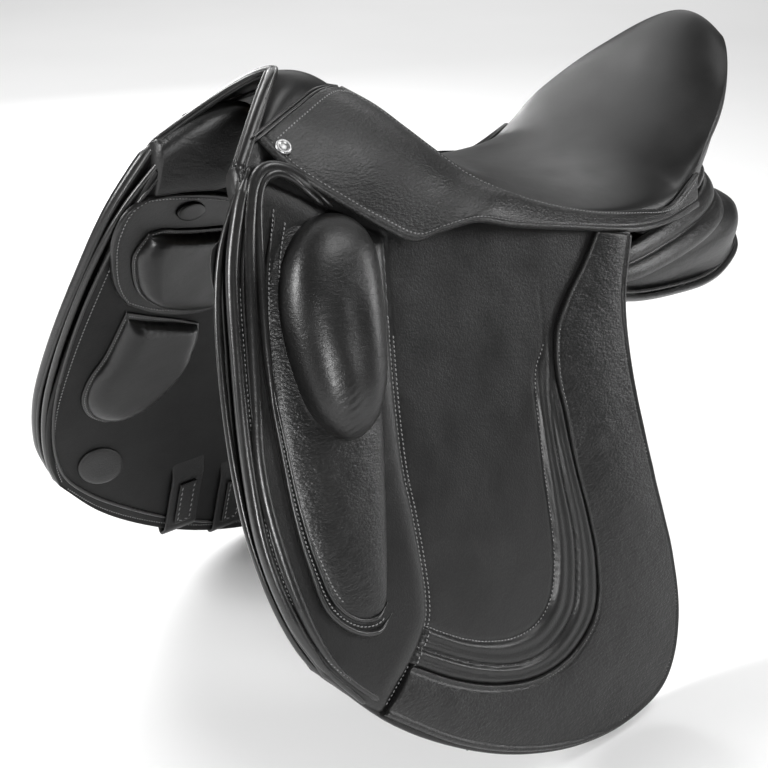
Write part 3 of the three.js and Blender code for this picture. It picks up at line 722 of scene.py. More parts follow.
skirt_seam = route([*map(seam_point, SEAM_X), (128, 3, 174)])
skirt_low = route([(-174, 114, 51), (-128, 126, 51), (-73, 134, 56), (4, 130, 72), (63, 123, 84),
                   (98, 118, 93), (128, 113, 90), (149, 110, 87), (174, 101, 101), (200, 88, 120),
                   (225, 68, 142), (237, 48, 162)])
skirt_bulge = profile([(0, 0), (0.45, 1), (0.65, 7), (0.8, 10), (0.92, 6), (1, 2)])


def skirt_rear(v):
    v = np.asarray(v, float)[..., None]
    return skirt_low(0.0) * (1 - v) + skirt_seam(0.0) * v


def skirt_front(v):
    return cover_seam(1 - np.asarray(v, float)) + [-4.6, 1, 0]


skirt_flat = patch(skirt_low, skirt_seam, skirt_rear, skirt_front)


def skirt_point(u, v):
    bulge = 0.7 * skirt_bulge(u) * np.sin(math.pi * v)
    return skirt_flat(u, v) + np.stack([0 * bulge, bulge, bulge], -1)


def grid_normals(points):
    """Outward normals of a grid whose rows run forward and columns run up."""
    return unit(np.cross(np.gradient(points, axis=1), np.gradient(points, axis=0)))


def skirt_parts():
    """The skirt leather with its turned lower edge, and its rows of stitches."""
    us, vs, u, v, soft = sheet_grid(SKIRT_SIZE, (1.9, 1.5), 1.6)
    surface = skirt_point(u, v)
    normal = grid_normals(surface)
    steps = np.linalg.norm(np.diff(surface, axis=1), axis=-1)
    up = np.concatenate([np.zeros((len(us), 1)), np.cumsum(steps, axis=1)], axis=1)
    hem, top_row, front_row = 7.0, 5.2, 7.5
    turned = 1.5 * np.sqrt(np.clip(1 - ((up - 0.45 * hem) / (0.55 * hem)) ** 2, 0, 1))
    seam = -0.6 * hump(up - hem, 1.1)
    below = np.linalg.norm(surface[:, -1:] - surface, axis=-1)
    top_seam = -0.2 * hump(below - top_row, 1.1) + 1.6 * hump(below, 3.2)
    tip = 0.3 * hump(u - 0.67, 0.09) + 0.3 * hump(u - 0.08, 0.08)
    pucker_pitch = 4.4
    turned += tip * np.sin(u * SKIRT_SIZE[0] * 2 * math.pi / pucker_pitch) * hump(up - hem, 3.5)
    creases = 0.2 * ripple(surface * [0.5, 1, 1.6], 5, 34, 3)
    relief = turned + seam + top_seam + creases * np.clip(up / 20, 0, 1) * np.clip(below / 20, 0, 1)
    top = surface + normal * ((-LEATHER / 2) + (LEATHER / 2 + relief) * soft)[..., None]
    bottom = surface + normal * (-LEATHER / 2 - LEATHER / 2 * soft)[..., None]
    body = sheet(top, bottom)

    def row(measure, distance_up, first, last):
        points, normals = [], []
        for i in range(first, last):
            order = np.argsort(measure[i])
            j = np.interp(distance_up, measure[i][order], order.astype(float))
            j0 = int(np.clip(math.floor(j), 0, len(vs) - 2))
            points.append(top[i, j0] * (1 - (j - j0)) + top[i, j0 + 1] * (j - j0))
            normals.append(normal[i, j0])
        return np.array(points), np.array(normals)
    low = stitches(*row(up, hem, 5, len(us) - 6))
    high = stitches(*row(below, top_row, 6, int(len(us) * 0.985)), sunk=-0.25)
    front_line, front_normal = [], []
    for j in range(8, len(vs) - 4):
        from_front = np.linalg.norm(surface[:, j] - surface[-1, j], axis=-1)
        i = int(np.argmin(np.abs(from_front - front_row)))
        front_line.append(top[i, j])
        front_normal.append(normal[i, j])
    front = stitches(np.array(front_line), np.array(front_normal))
    return body, joined(low, high, front)


def seat_seam_shape():
    """The thin welt sewn between the seat and a skirt."""
    line = skirt_seam(np.linspace(0.02, 0.97, 240))
    out = np.gradient(line, axis=0)
    out = unit(np.stack([out[:, 1], -out[:, 0], 0 * out[:, 0]], -1))
    out *= np.sign(out[:, 1:2])
    line = line - out * WELT_INSET - [0, 0, 1.4]
    return tube(line, 1.2, np.tile([0, 0.4, 1.0], (len(line), 1)), sides=10)


# ---- flaps ----

def flap_y(x, z):
    """How far out the flap's outer face is: it leans out downwards and turns in towards the front."""
    down, fore = -(z + 50) / 400, (x - 100) / 300
    return 148.5 + 139 * down - 27 * down**2 - 24 * fore + 14.5 * fore**2 + 46 * fore * down


def flap_normal(x, z):
    e = 0.5
    slope_x = (flap_y(x + e, z) - flap_y(x - e, z)) / (2 * e)
    slope_z = (flap_y(x, z + e) - flap_y(x, z - e)) / (2 * e)
    return unit(np.stack([-slope_x, np.ones_like(slope_x), -slope_z], -1))


def on_flap(flat, offset=0.0):
    """The point at an offset along the normal of the flap's outer face."""
    flat = np.asarray(flat, float)
    x, z = flat[..., 0], flat[..., 1]
    base = np.stack([x, flap_y(x, z), z], -1)
    return base + flap_normal(x, z) * np.broadcast_to(offset, x.shape)[..., None]


def normals_on_flap(flat):
    return flap_normal(flat[..., 0], flat[..., 1])


def sewn(flat, offset, side=1, **thread):
    """Stitches along flat points of a flap, on its outer face (side 1) or towards the horse (-1)."""
    return stitches(on_flap(flat, offset), side * normals_on_flap(flat), **thread)


def rolled(flat, offset, wide, high=None, sides=12):
    """A roll along flat points of a flap."""
    return tube(on_flap(flat, offset), wide, normals_on_flap(flat), high, sides)


def straight_run(area, start, end, count=150):
    """Flat points between two places of an area, given as (u, v)."""
    places = np.linspace(start, end, count)
    return area(places[:, 0], places[:, 1])


def along(curve, cell=1.5):
    """Flat points along a curve."""
    return curve(np.linspace(0, 1, max(8, int(curve.length / cell))))


flap_top = route([(-62, 58), (20, 80), (66, 88), (108, 90), (150, 101), (215, 138), (256, 149)])
flap_rear = route([(-48, -290), (-58, -250), (-57, -205), (-48, -140), (-40, -70), (-42, -10), (-62, 58)])
flap_front = route([(296, -168), (313, -128), (321, -78), (316, -25), (301, 42), (284, 98), (256, 149)])
flap_bottom = route([(-48, -290), (-28, -312), (18, -322), (73, -316), (137, -294), (195, -262),
                     (250, -220), (296, -168)])
flap_area = patch(flap_bottom, flap_top, flap_rear, flap_front)

centre_seam = route([(160, 92), (170, 50), (184, -15), (191, -61), (192, -96), (197, -151), (203, -167),
                     (221, -185), (256, -208)])
channel_inner = route([(36, 30), (41, -6), (54, -26), (62, -82), (69, -165), (80, -193), (98, -206),
                       (126, -207), (165, -193), (203, -168), (212, -161)])
channel_middle = route([(33, 16), (38, -16), (46, -50), (48, -100), (46, -150), (50, -180), (60, -209),
                        (88, -227), (120, -228), (160, -213), (214, -179), (224, -172)])
border_inner = route([(-26, 64), (-9, 44), (15, 20), (29, 1), (36, -28), (35, -60), (34, -100), (29, -146),
                      (28, -179), (37, -217), (66, -239), (102, -244), (145, -234), (186, -214),
                      (224, -188)])
border_outer = route([(-60, 56), (-43, 8), (-39, -50), (-46, -130), (-56, -205), (-56, -250), (-44, -290),
                      (-26, -309), (18, -319), (73, -313), (137, -291), (195, -259), (244, -221),
                      (257, -210)])

def flap_relief(flat):
    """Padding and seams of the flap leather, as a height over its face."""
    inner, middle, outer = along(channel_inner), along(channel_middle), along(border_inner)
    seam = along(centre_seam)
    height = padded_band(flat, inner, middle, 4.2) + padded_band(flat, middle, outer, 4.2)
    fade = np.clip((10 - flat[..., 1]) / 120, 0, 1)
    height = height * fade
    height += groove(flat, inner, 1.0, 1.8) * (0.15 + 0.85 * fade) + groove(flat, middle, 1.0, 1.8) * fade
    front = flap_front(np.linspace(0, 1, 80))
    band = np.vstack([seam, [(275, -192)], front])
    height = np.where(inside(flat, band), pillow(flat, band, 4.6, 15), height) + groove(flat, seam, 1.3, 2.0)
    main = np.vstack([along(border_inner, 6)[:40], seam[::-1]])
    height += 0.15 * ripple(flat, 3, 46, 2) * inside(flat, main)
    return height


def flap_leather_shape():
    _, _, u, v, soft = sheet_grid(FLAP_SIZE, (1.7, 1.8), 1.8)
    flat = flap_area(u, v)
    relief = flap_relief(flat)
    top = on_flap(flat, -LEATHER / 2 + (LEATHER / 2 + relief) * soft)
    bottom = on_flap(flat, -LEATHER / 2 - LEATHER / 2 * soft)
    return sheet(top, bottom)


def border_parts():
    """The grained border: a folded edge along the quilting and a turned edge round the flap."""
    length = border_outer.length
    us, vs = spread(length, 1.8), spread(82, 1.5)
    u, v = grid(us, vs)
    flat = ruled(border_outer, border_inner)(u, v)
    width = np.linalg.norm(border_outer(us) - border_inner(us), axis=1)[:, None]
    from_outer, from_inner = vs[None, :] * width, (1 - vs)[None, :] * width
    outer_row, inner_row = 5.5, 3.6
    seams = -0.7 * (hump(from_outer - outer_row, 1.0) + hump(from_inner - inner_row, 1.0))
    swell = 1.0 * hump(from_outer - 2.2, 2.0) + 0.9 * hump(from_inner - 1.2, 1.6)
    relief = seams + swell + 2.2 * np.sin(math.pi * v) + 0.3 * ripple(flat, 11, 60, 3)
    soft = edge_round(us, vs, length, 60, 1.6)
    high = 3.4 + relief
    top = on_flap(flat, 1.0 + (high - 1.0) * soft)
    bottom = on_flap(flat, 1.0 - 0.9 * soft)
    kept = slice(6, len(us) - 7)
    rows = []
    for gap, near, far in ((outer_row, border_outer, border_inner), (inner_row, border_inner, border_outer)):
        share = gap / width[kept]
        rows.append(sewn(near(us[kept]) * (1 - share) + far(us[kept]) * share, 2.9))
    foot, head = border_outer(1.0), border_inner(1.0)
    rows.append(sewn(foot + (head - foot) * np.linspace(0.1, 0.9, 30)[:, None] + [-3.5, 0.5], 3.1))
    return sheet(top, bottom), joined(*rows)


def flap_stitch_rows():
    """Sewing of the quilted channel and the centre seam."""
    rows = []
    for curve, first in ((channel_inner, 0.1), (channel_middle, 0.14), (centre_seam, 0.16)):
        rows.append(sewn(curve(np.linspace(first, 0.985, 200)), -0.35))
    beside = centre_seam(np.linspace(0.2, 0.97, 200))
    run = np.gradient(beside, axis=0)
    flat = beside - unit(np.stack([-run[:, 1], run[:, 0]], -1)) * 3.2
    rows.append(sewn(flat, flap_relief(flat) + 0.1))
    return joined(*rows)


def surround_shape():
    """Piped rolls that run down beside the block's base and turn under its foot, like a long U."""
    outer = route([(204, 118), (217, 133), (229, 142), (240, 142), (249, 134), (268, 77), (284, 11),
                   (288, -25), (291, -64), (290, -95), (284, -128), (264, -149), (246, -154), (231, -147)])
    inner = route([(243, 118), (262, 84), (279, 30), (284, -20), (286, -62), (284, -94), (277, -125),
                   (262, -141), (245, -145), (233, -139)])
    t = np.linspace(0, 1, 320)
    parts = []
    for curve, wide, high, offset in (
            (outer, profile([(0, 3.2), (0.4, 3.4), (0.5, 1.9), (1, 2.1)]), 3.2, 6.0),
            (inner, profile([(0, 1.3), (1, 1.5)]), 1.6, 6.6)):
        flat = curve(t)
        fade = np.clip((1 - t) / 0.05, 0.3, 1) * np.clip(t / 0.08, 0.6, 1)
        width = wide(t) * fade
        parts.append(rolled(flat, offset - 2.5 * (1 - fade), width, np.minimum(high, 1.2 * width), 14))
    return joined(*parts)


def beside_front_edge(inset, top, foot):
    """A line down the flap at an inset from its front edge, with its own top and foot points."""
    edge = flap_front(np.linspace(0.94, 0.02, 24))
    run = np.gradient(edge, axis=0)
    inward = unit(np.stack([run[:, 1], -run[:, 0]], -1))
    return route([*top, *(edge + inward * inset), *foot])


def front_rolls_shape():
    """The thick rolled front edge of the flap, the thin bead behind it and the second thick roll."""
    lines = (
        (beside_front_edge(2.6, [(249, 150)], [(270, -196)]), 4.2, 4.6, 2.6),
        (beside_front_edge(8.2, [(246, 146)], [(264, -196)]), 1.3, 1.6, 5.4),
        (route([(196, 116), (209, 132), (224, 144), (239, 147), (250, 140), (262, 118), (278, 72), (295, 14),
                (306, -26), (309, -66), (303, -124), (290, -160), (276, -180), (259, -198)]), 4.9, 4.4, 4.6))
    t = np.linspace(0, 1, 320)
    parts = []
    for curve, wide, high, offset in lines:
        flat = curve(t)
        taper = np.clip((1 - t) / 0.22, 0.45, 1) * np.clip(t / 0.05, 0.5, 1)
        parts.append(rolled(flat, offset - 1.5 * (1 - taper), wide * taper, high * taper, 18))
    return joined(*parts)


def front_stitches():
    """Rows of stitches in the valleys between the front rolls."""
    rows = []
    lines = ((beside_front_edge(7.0, [(250, 143)], [(268, -190)]), 5.4, 0.2, 0.95),
             (route([(240, 128), (256, 94), (270, 56), (282, 10), (286, -24), (288.6, -64), (287, -95),
                     (280.5, -127), (263, -145), (246, -149), (235, -144)]), 6.8, 0.02, 0.98),
             (route([(234, 118), (250, 88), (266, 44), (276, 6), (281, -30), (283, -64), (280, -96),
                     (272, -124), (259, -136), (246, -138)]), 6.4, 0.02, 0.9))
    for curve, offset, first, last in lines:
        rows.append(sewn(curve(np.linspace(first, last, 280)), offset))
    return joined(*rows)


def area_shape(area, size, cell, low, face, radius=1.6):
    """A closed leather shape over a flat area of the flap, from a low height to face(flat, u, v)."""
    _, _, u, v, soft = sheet_grid(size, (cell, cell), radius)
    flat = area(u, v)
    top = face(flat, u, v)
    middle = low + 0.5 * np.sign(np.mean(top) - low)
    return sheet(on_flap(flat, middle + (top - middle) * soft), on_flap(flat, middle + (low - middle) * soft))


def block_base_shape():
    """The padded leather under the thigh block: a long pillow with grain at its foot."""
    low = route([(232, -140), (244, -150), (262, -147), (280, -132)])
    high = route([(184, 88), (210, 104), (238, 116)])
    rear = route([(232, -140), (212, -70), (196, -9), (184, 50), (184, 88)])
    front = route([(280, -132), (288, -64), (281, 11), (264, 77), (238, 116)])

    def rise(flat, u, v):
        crown = np.sqrt(np.clip(np.sin(math.pi * u), 0, 1) * np.clip(np.sin(math.pi * v), 0, 1) ** 0.7)
        return 2.5 + 9.0 * crown + 0.2 * ripple(flat, 8, 26, 3) * crown
    return area_shape(patch(low, high, rear, front), (84, 262), 1.6, 1.0, rise)


def thigh_block_shape():
    """The big moulded block: domed top, full body with a shallow valley, drawn in at its foot."""
    centre = profile([(-30, 231), (0, 232), (55, 224), (90, 214), (113, 206)])
    half = profile([(-30, 21), (-16, 27), (0, 31), (30, 36), (55, 38), (80, 37), (100, 33), (113, 29)])
    bulk = profile([(-30, 24), (-14, 28), (10, 34), (45, 35), (80, 31), (100, 26), (113, 20)])
    low_z, high_z = -30.0, 113.0
    u, v = grid(np.linspace(0, 1, 73), np.linspace(0, 1, 110))
    angle = math.pi * (1 - u)
    v = 0.5 - 0.5 * np.cos(math.pi * v)
    z = low_z + (high_z - low_z) * v
    ends = np.sqrt(np.clip(1 - np.abs(2 * v - 1) ** 5.5, 0, 1))
    wide = np.sign(np.cos(angle)) * np.abs(np.cos(angle)) ** 0.86
    tall = np.sin(angle) ** 0.58
    valley = 2.2 * hump(wide + 0.12, 0.3) * hump(z - 30, 34)
    flat = np.stack([centre(z) + wide * half(z) * ends, z], -1)
    top = 5.5 + (bulk(z) * ends * tall) - valley * tall
    top += 0.3 * ripple(flat * [1, 0.5], 21, 30, 2) * tall
    lean = 0.5 * flat[..., 0] + z + 2.5 * ripple(flat, 22, 40, 2)
    drawn_in = hump(wide - 0.5, 0.42) * hump(z + 2, 22)
    crease_pitch, crease_height = 5.2, 0.55
    top += crease_height * np.sin(lean * 2 * math.pi / crease_pitch) * drawn_in * tall
    return pinched(on_flap(flat, top), on_flap(flat, 5.0), share=0)


# ---- horse side of the flap ----

SLOTS = ((162.0, -188.0, -272.0), (105.0, -208.0, -294.0))   # x, slot height, lower edge


def sweat_area(u, v):
    return flap_area(0.008 + 0.984 * u, 0.022 + 0.93 * v)


def sweat_shape():
    """The inner sheet of leather on the horse's side, with its sewing."""
    width, height = SWEAT_SIZE
    _, _, u, v, soft = sheet_grid(SWEAT_SIZE, (2.2, 2.2), 1.5)
    flat = sweat_area(u, v)
    rim = np.minimum(np.minimum(u, 1 - u) * width, v * height)
    bead = 0.8 * hump(rim - 2.4, 1.8) - 0.5 * hump(rim - 9.0, 1.1)
    middle = (SWEAT_OUTER + SWEAT_INNER) / 2
    half = (SWEAT_OUTER - SWEAT_INNER) / 2
    face = on_flap(flat, middle - (half + bead) * soft)
    back = on_flap(flat, middle + half * soft)
    sewn_u, sewn_v = 9 / width, 9 / height
    runs = (straight_run(sweat_area, (sewn_u, 0.9), (sewn_u, 0.04), 200),
            straight_run(sweat_area, (0.04, sewn_v), (0.96, sewn_v), 300),
            straight_run(sweat_area, (1 - sewn_u, 0.04), (1 - sewn_u, 0.93), 200))
    return sheet(back, face), joined(*(sewn(run, SWEAT_INNER + 0.1, -1) for run in runs))


def inner_edge_rolls():
    """Bindings of the two leathers seen from the front: the sweat flap's edge and the piping inside it."""
    parts = []
    for points, offset, wide in (
            ([(246, 149), (264, 128), (281, 104), (295, 72), (308, 24), (317, -30), (319, -74), (312, -122),
              (298, -158), (270, -190), (228, -224), (180, -256), (120, -288), (70, -304)],
             SWEAT_OUTER + 1.5, 2.6),
            ([(243, 147), (260, 128), (278, 102), (291, 68), (304, 22), (312, -30), (314, -73), (307, -120),
              (293, -154), (265, -186), (224, -219), (178, -250), (120, -281), (72, -297)],
             SWEAT_INNER - 0.6, 1.5)):
        parts.append(rolled(route(points)(np.linspace(0, 1, 260)), offset, wide))
    return joined(*parts)


def backing_shape():
    """The leather plate under the upper pad, with its sewing."""
    width, height = PLATE_SIZE
    low = route([(158, -15), (190, -14), (211, -9), (238, 2), (264, 18)])
    high = route([(165, 90), (201, 103), (224, 109), (244, 113), (266, 115)])
    rear = route([(158, -15), (165, 90)])
    front = route([(264, 18), (279, 38), (288, 62), (291, 86), (284, 107), (266, 115)])
    area = patch(low, high, rear, front)

    def face(flat, u, v):
        rim = np.minimum(np.minimum(u, 1 - u) * width, np.minimum(v, 1 - v) * height)
        return BACKING_INNER - 0.9 * hump(rim - 1.8, 1.5) + 0.5 * hump(rim - 5.0, 1.0)

    body = area_shape(area, PLATE_SIZE, 1.5, SWEAT_INNER - 0.5, face)
    ends = (((0.03, 0.952), (0.955, 0.952)), ((0.03, 0.048), (0.955, 0.048)), ((0.955, 0.05), (0.955, 0.95)))
    rows = [sewn(straight_run(area, start, end), BACKING_INNER + 0.2, -1) for start, end in ends]
    return body, joined(*rows)


def cushion_shape(area, size, base, seed):
    """A leather pillow that swells towards the horse, the flange round it and the sewing."""
    width, height = size
    swell = 10.5
    flange, shoulder, top_shoulder = 3.2, 22.0, 9.0
    inset_u, inset_v = flange / width, flange / height

    def rim_bead(flat, u, v):
        gap = np.minimum(np.minimum(u, 1 - u) * width, np.minimum(v, 1 - v) * height)
        return base - 1.8 - 0.5 * hump(gap - flange, 0.9)

    def bulge(flat, u, v):
        across, up = np.minimum(u, 1 - u) * width, np.minimum(v, 1 - v) * height
        body = (quarter_round(across, shoulder) * quarter_round(v * height, shoulder)
                * quarter_round((1 - v) * height, top_shoulder))
        near_edge = np.exp(-np.minimum(across, up) / 4) * np.clip(body * 3, 0, 1)
        puckers = 0.35 * ripple(flat, seed, 7, 2) * near_edge
        waves = 0.35 * ripple(flat, seed + 1, 44, 2) * body
        return base - 1.4 - swell * body - waves - puckers

    def inner_area(u, v):
        return area(inset_u + (1 - 2 * inset_u) * u, inset_v + (1 - 2 * inset_v) * v)

    rim = area_shape(area, size, 1.5, base, rim_bead, 1.4)
    body = area_shape(inner_area, size, 1.1, base - 0.3, bulge, 0.8)
    sewn_u, sewn_v = 1.9 / width, 1.9 / height
    first, last = 0.04, 0.96
    ends = (((first, 1 - sewn_v), (last, 1 - sewn_v)), ((first, sewn_v), (last, sewn_v)),
            ((1 - sewn_u, first), (1 - sewn_u, last)), ((sewn_u, first), (sewn_u, last)))
    runs = [straight_run(area, start, end) for start, end in ends]
    return rim, body, joined(*(sewn(run, base - 1.8, -1, pitch=2.6, thread=0.42) for run in runs))


def upper_pad_area():
    low = route([(160, -12), (186, -10), (208, -4), (230, 6), (246, 17)])
    high = route([(166, 66), (202, 73), (228, 79), (246, 84), (260, 84)])
    rear = route([(160, -12), (166, 66)])
    front = route([(246, 17), (259, 31), (268, 52), (270, 68), (260, 84)])
    return patch(low, high, rear, front)


def lower_pad_area():
    low = route([(188, -58), (205, -91), (220, -104), (240, -108), (263, -104)])
    high = route([(183, -27), (210, -14), (238, -2), (262, 9)])
    rear = route([(188, -58), (181, -42), (183, -27)])
    front = route([(263, -104), (281, -90), (290, -70), (286, -49), (275, -30), (262, 9)])
    return patch(low, high, rear, front)


def disc_shape(x, z, radius, low, high, squat=1.0, lean=0.0):
    """A round or oval leather piece on the horse side, turned down at its rim."""
    rings = [(0.02, high + 0.25), (0.5, high), (0.85, high - 0.1), (0.96, high + 0.35), (1.0, high + 1.0),
             (1.0, low)]
    sides = 48
    angle = np.linspace(0, 2 * math.pi, sides, endpoint=False)
    points = []
    for share, offset in rings:
        up = squat * radius * share * np.sin(angle)
        flat = np.stack([x + radius * share * np.cos(angle) + lean * up, z + up], -1)
        points.append(on_flap(flat, offset))
    return np.vstack(points), ring_faces(len(rings), sides)


def billet_parts(x, z, edge):
    """One billet: down between the flaps, out through its slot, round the lower edge and back up."""
    half = 1.4
    path = route([(-9.4, z + 60), (-9.4, z + 24), (-9.4, z + 16), (-13.5, z), (-17.6, z - 16),
                  (-17.6, z - 24), (-17.6, edge + 16), (-17.6, edge + 6), (-12, edge - 1),
                  (-6.4, edge + 6), (-6.4, edge + 16), (-6.4, z + 44)])
    t = np.linspace(0, 1, 150)
    line = path(t)
    tangent = unit(np.gradient(line, axis=0))
    across = spread(BILLET_WIDTH, 2.0, 1.2)
    soft = quarter_round(np.minimum(across, 1 - across) * BILLET_WIDTH, 1.2)
    grids = []
    for sign in (1, -1):
        depth = line[:, 0, None] - sign * half * tangent[:, 1, None] * soft
        height = line[:, 1, None] + sign * half * tangent[:, 0, None] * soft
        flat = np.stack([np.broadcast_to(x + (across - 0.5) * BILLET_WIDTH, depth.shape), height], -1)
        grids.append(on_flap(flat, depth))
    strap = sheet(grids[0], grids[1])
    top, low = z - 22, edge + 14
    tab_width = 18
    _, _, u, v, soft = sheet_grid((tab_width, top - low), (1.5, 2.0), 1.0)
    flat = np.stack([x + tab_width * (u - 0.5), low + (top - low) * v], -1)
    tab = sheet(on_flap(flat, -20.4 + 1.0 * soft), on_flap(flat, -20.4 - 1.4 * soft))
    thread = {"pitch": 5.6, "fill": 0.8, "thread": 0.6}
    loop = []
    for dx in (-6.4, 6.4):
        down = np.linspace((x + dx, top - 2), (x + dx, low + 3), 40)
        loop.append(sewn(down, -21.7, -1, slant=0.22, **thread))
    level = np.linspace((x - 6, low + 3), (x + 6, low + 3), 20)
    loop.append(sewn(level, -21.7, -1, slant=0.4, **thread))
    return strap, tab, joined(*loop)


# ---- panels ----

piping_line = route([(-60, 127, 0), (-97, 122, -10), (-150, 114, -20), (-207, 105, -27), (-250, 93, -27),
                     (-284, 80, -18), (-302, 62, -10)])


def panel_shape():
    """The flocked panel: a long cushion from under the cantle to the front pillow."""
    station = profile([(0, -300), (0.1, -270), (0.55, 70), (0.75, 176), (0.8, 190), (0.9, 216), (1, 259)])
    y0 = profile([(-300, 46), (-262, 60), (-200, 66), (-100, 72), (0, 68), (100, 54), (150, 37), (176, 34),
                  (190, 31), (214, 35), (259, 53)])
    z0 = profile([(-300, 8), (-262, 2), (-200, 0), (-100, 9), (0, 25), (100, 60), (150, 94), (176, 114),
                  (190, 137), (214, 140), (236, 136), (259, 127)])
    half = profile([(-300, 16), (-290, 24), (-262, 32), (-200, 39), (-100, 44), (0, 42), (100, 34),
                    (150, 30), (176, 28), (190, 34), (214, 36), (240, 29), (259, 22)])
    thick = profile([(-300, 14), (-290, 22), (-262, 32), (-200, 36), (-100, 28), (0, 20), (100, 15),
                     (150, 11), (176, 10), (190, 10), (214, 12), (259, 10)])
    tilt = profile([(-300, 14), (-200, 22), (-100, 26), (0, 32), (100, 46), (150, 58), (176, 64),
                    (214, 70), (246, 70)])
    nu, ring = 230, 96
    u = np.linspace(0, 1, nu)
    x = station(u)
    t = np.linspace(0, 2 * math.pi, ring, endpoint=False)
    square = 0.72
    a = np.sign(np.cos(t)) * np.abs(np.cos(t)) ** square
    b = np.sign(np.sin(t)) * np.abs(np.sin(t)) ** square
    angle = np.radians(tilt(x))[:, None]
    wide, deep = a[None] * half(x)[:, None], b[None] * thick(x)[:, None]
    points = np.stack([np.broadcast_to(x[:, None], wide.shape),
                       y0(x)[:, None] + wide * np.cos(angle) + deep * np.sin(angle),
                       z0(x)[:, None] - wide * np.sin(angle) + deep * np.cos(angle)], -1)
    cord = piping_line(np.linspace(0, 1, 200))
    corner = 1.78 * math.pi
    for i in range(nu):
        if x[i] < -60:
            target = cord[np.argmin(np.abs(cord[:, 0] - x[i]))]
            near = np.argmin(np.abs(t - corner))
            pull = np.clip(1 - np.abs(t - corner) / 0.75, 0, 1) ** 1.6 * np.clip((-60 - x[i]) / 40, 0, 1)
            points[i] += pull[:, None] * (target - [0, 1.5, -1.0] - points[i, near])
    return points.reshape(-1, 3), ring_faces(nu, ring)


def gusset_shape():
    """Two tiers of roll between the panel and the seat at the back, like a stepped wall."""
    low = route([(-284, 5, 22), (-279, 42, 24), (-253, 79, 22), (-208, 103, 19), (-150, 116, 14),
                 (-90, 122, 10), (-62, 121, 10)])
    high = route([(-270, 5, 57), (-263, 39, 57), (-239, 70, 55), (-201, 92, 52), (-150, 107, 47),
                  (-90, 116, 40), (-62, 117, 36)])
    u, v = grid(np.linspace(0, 1, 150), np.linspace(0, 1, 44))
    surface = ruled(low, high)(u, v)
    out = unit((surface - [-120, 0, 0]) * [1, 1, 0])
    tier = np.where(v < 0.5, 2 * v, 2 * v - 1)
    roll = 5.2 * np.sqrt(np.clip(1 - (2 * tier - 1) ** 2, 0, 1)) + 2.5 * (v < 0.5)
    return pinched(surface + out * roll[..., None], surface - out * 2.2)


def panel_piping_shape():
    line = piping_line(np.linspace(0, 1, 160))
    out = np.tile([-0.3, 0.8, -0.3], (len(line), 1))
    inner = line + np.array([0, -2.6, 4.6])
    return joined(tube(line, 2.8, out, sides=12), tube(inner[4:], 1.7, out[4:], sides=10))


# ---- metal ----

def nail_shape():
    """A nail head like a ring: a rounded rim round a shallow dish."""
    u, v = np.array([[0.967]]), np.array([[0.08]])
    e = 0.004
    here = skirt_point(u, v)[0, 0]
    forward = skirt_point(u + e, v)[0, 0] - skirt_point(u - e, v)[0, 0]
    upward = skirt_point(u, v + e * 4)[0, 0] - skirt_point(u, v - e * 4)[0, 0]
    normal = unit(np.cross(upward, forward))
    forward = unit(forward)
    side = np.cross(normal, forward)
    centre = here + normal * LAYER_GAP
    rings = [(0.05, 0.7), (2.2, 0.75), (3.1, 1.1), (3.7, 1.9), (4.7, 2.2), (5.6, 1.8), (6.1, 0.9), (6.0, 0.0)]
    sides = 40
    angle = np.linspace(0, 2 * math.pi, sides, endpoint=False)
    points = []
    for radius, height in rings:
        round_it = forward * np.cos(angle)[:, None] + side * np.sin(angle)[:, None]
        points.append(centre + normal * height + radius * round_it)
    return np.vstack(points), ring_faces(len(rings), sides)


def finish_cad_nodes():
    """Node-based materials for the solids that are carried over as they are."""
    for name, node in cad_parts.items():
        material = None
        if name == "tree_frame":
            material = WOOD
        elif name.startswith("seat_web"):
            material = WEBBING
        elif name.startswith(("head_plate", "stirrup_bar", "bar_catch")):
            material = STEEL
        if material:
            node.data.materials.clear()
            node.data.materials.append(material)


# ---- studio ----

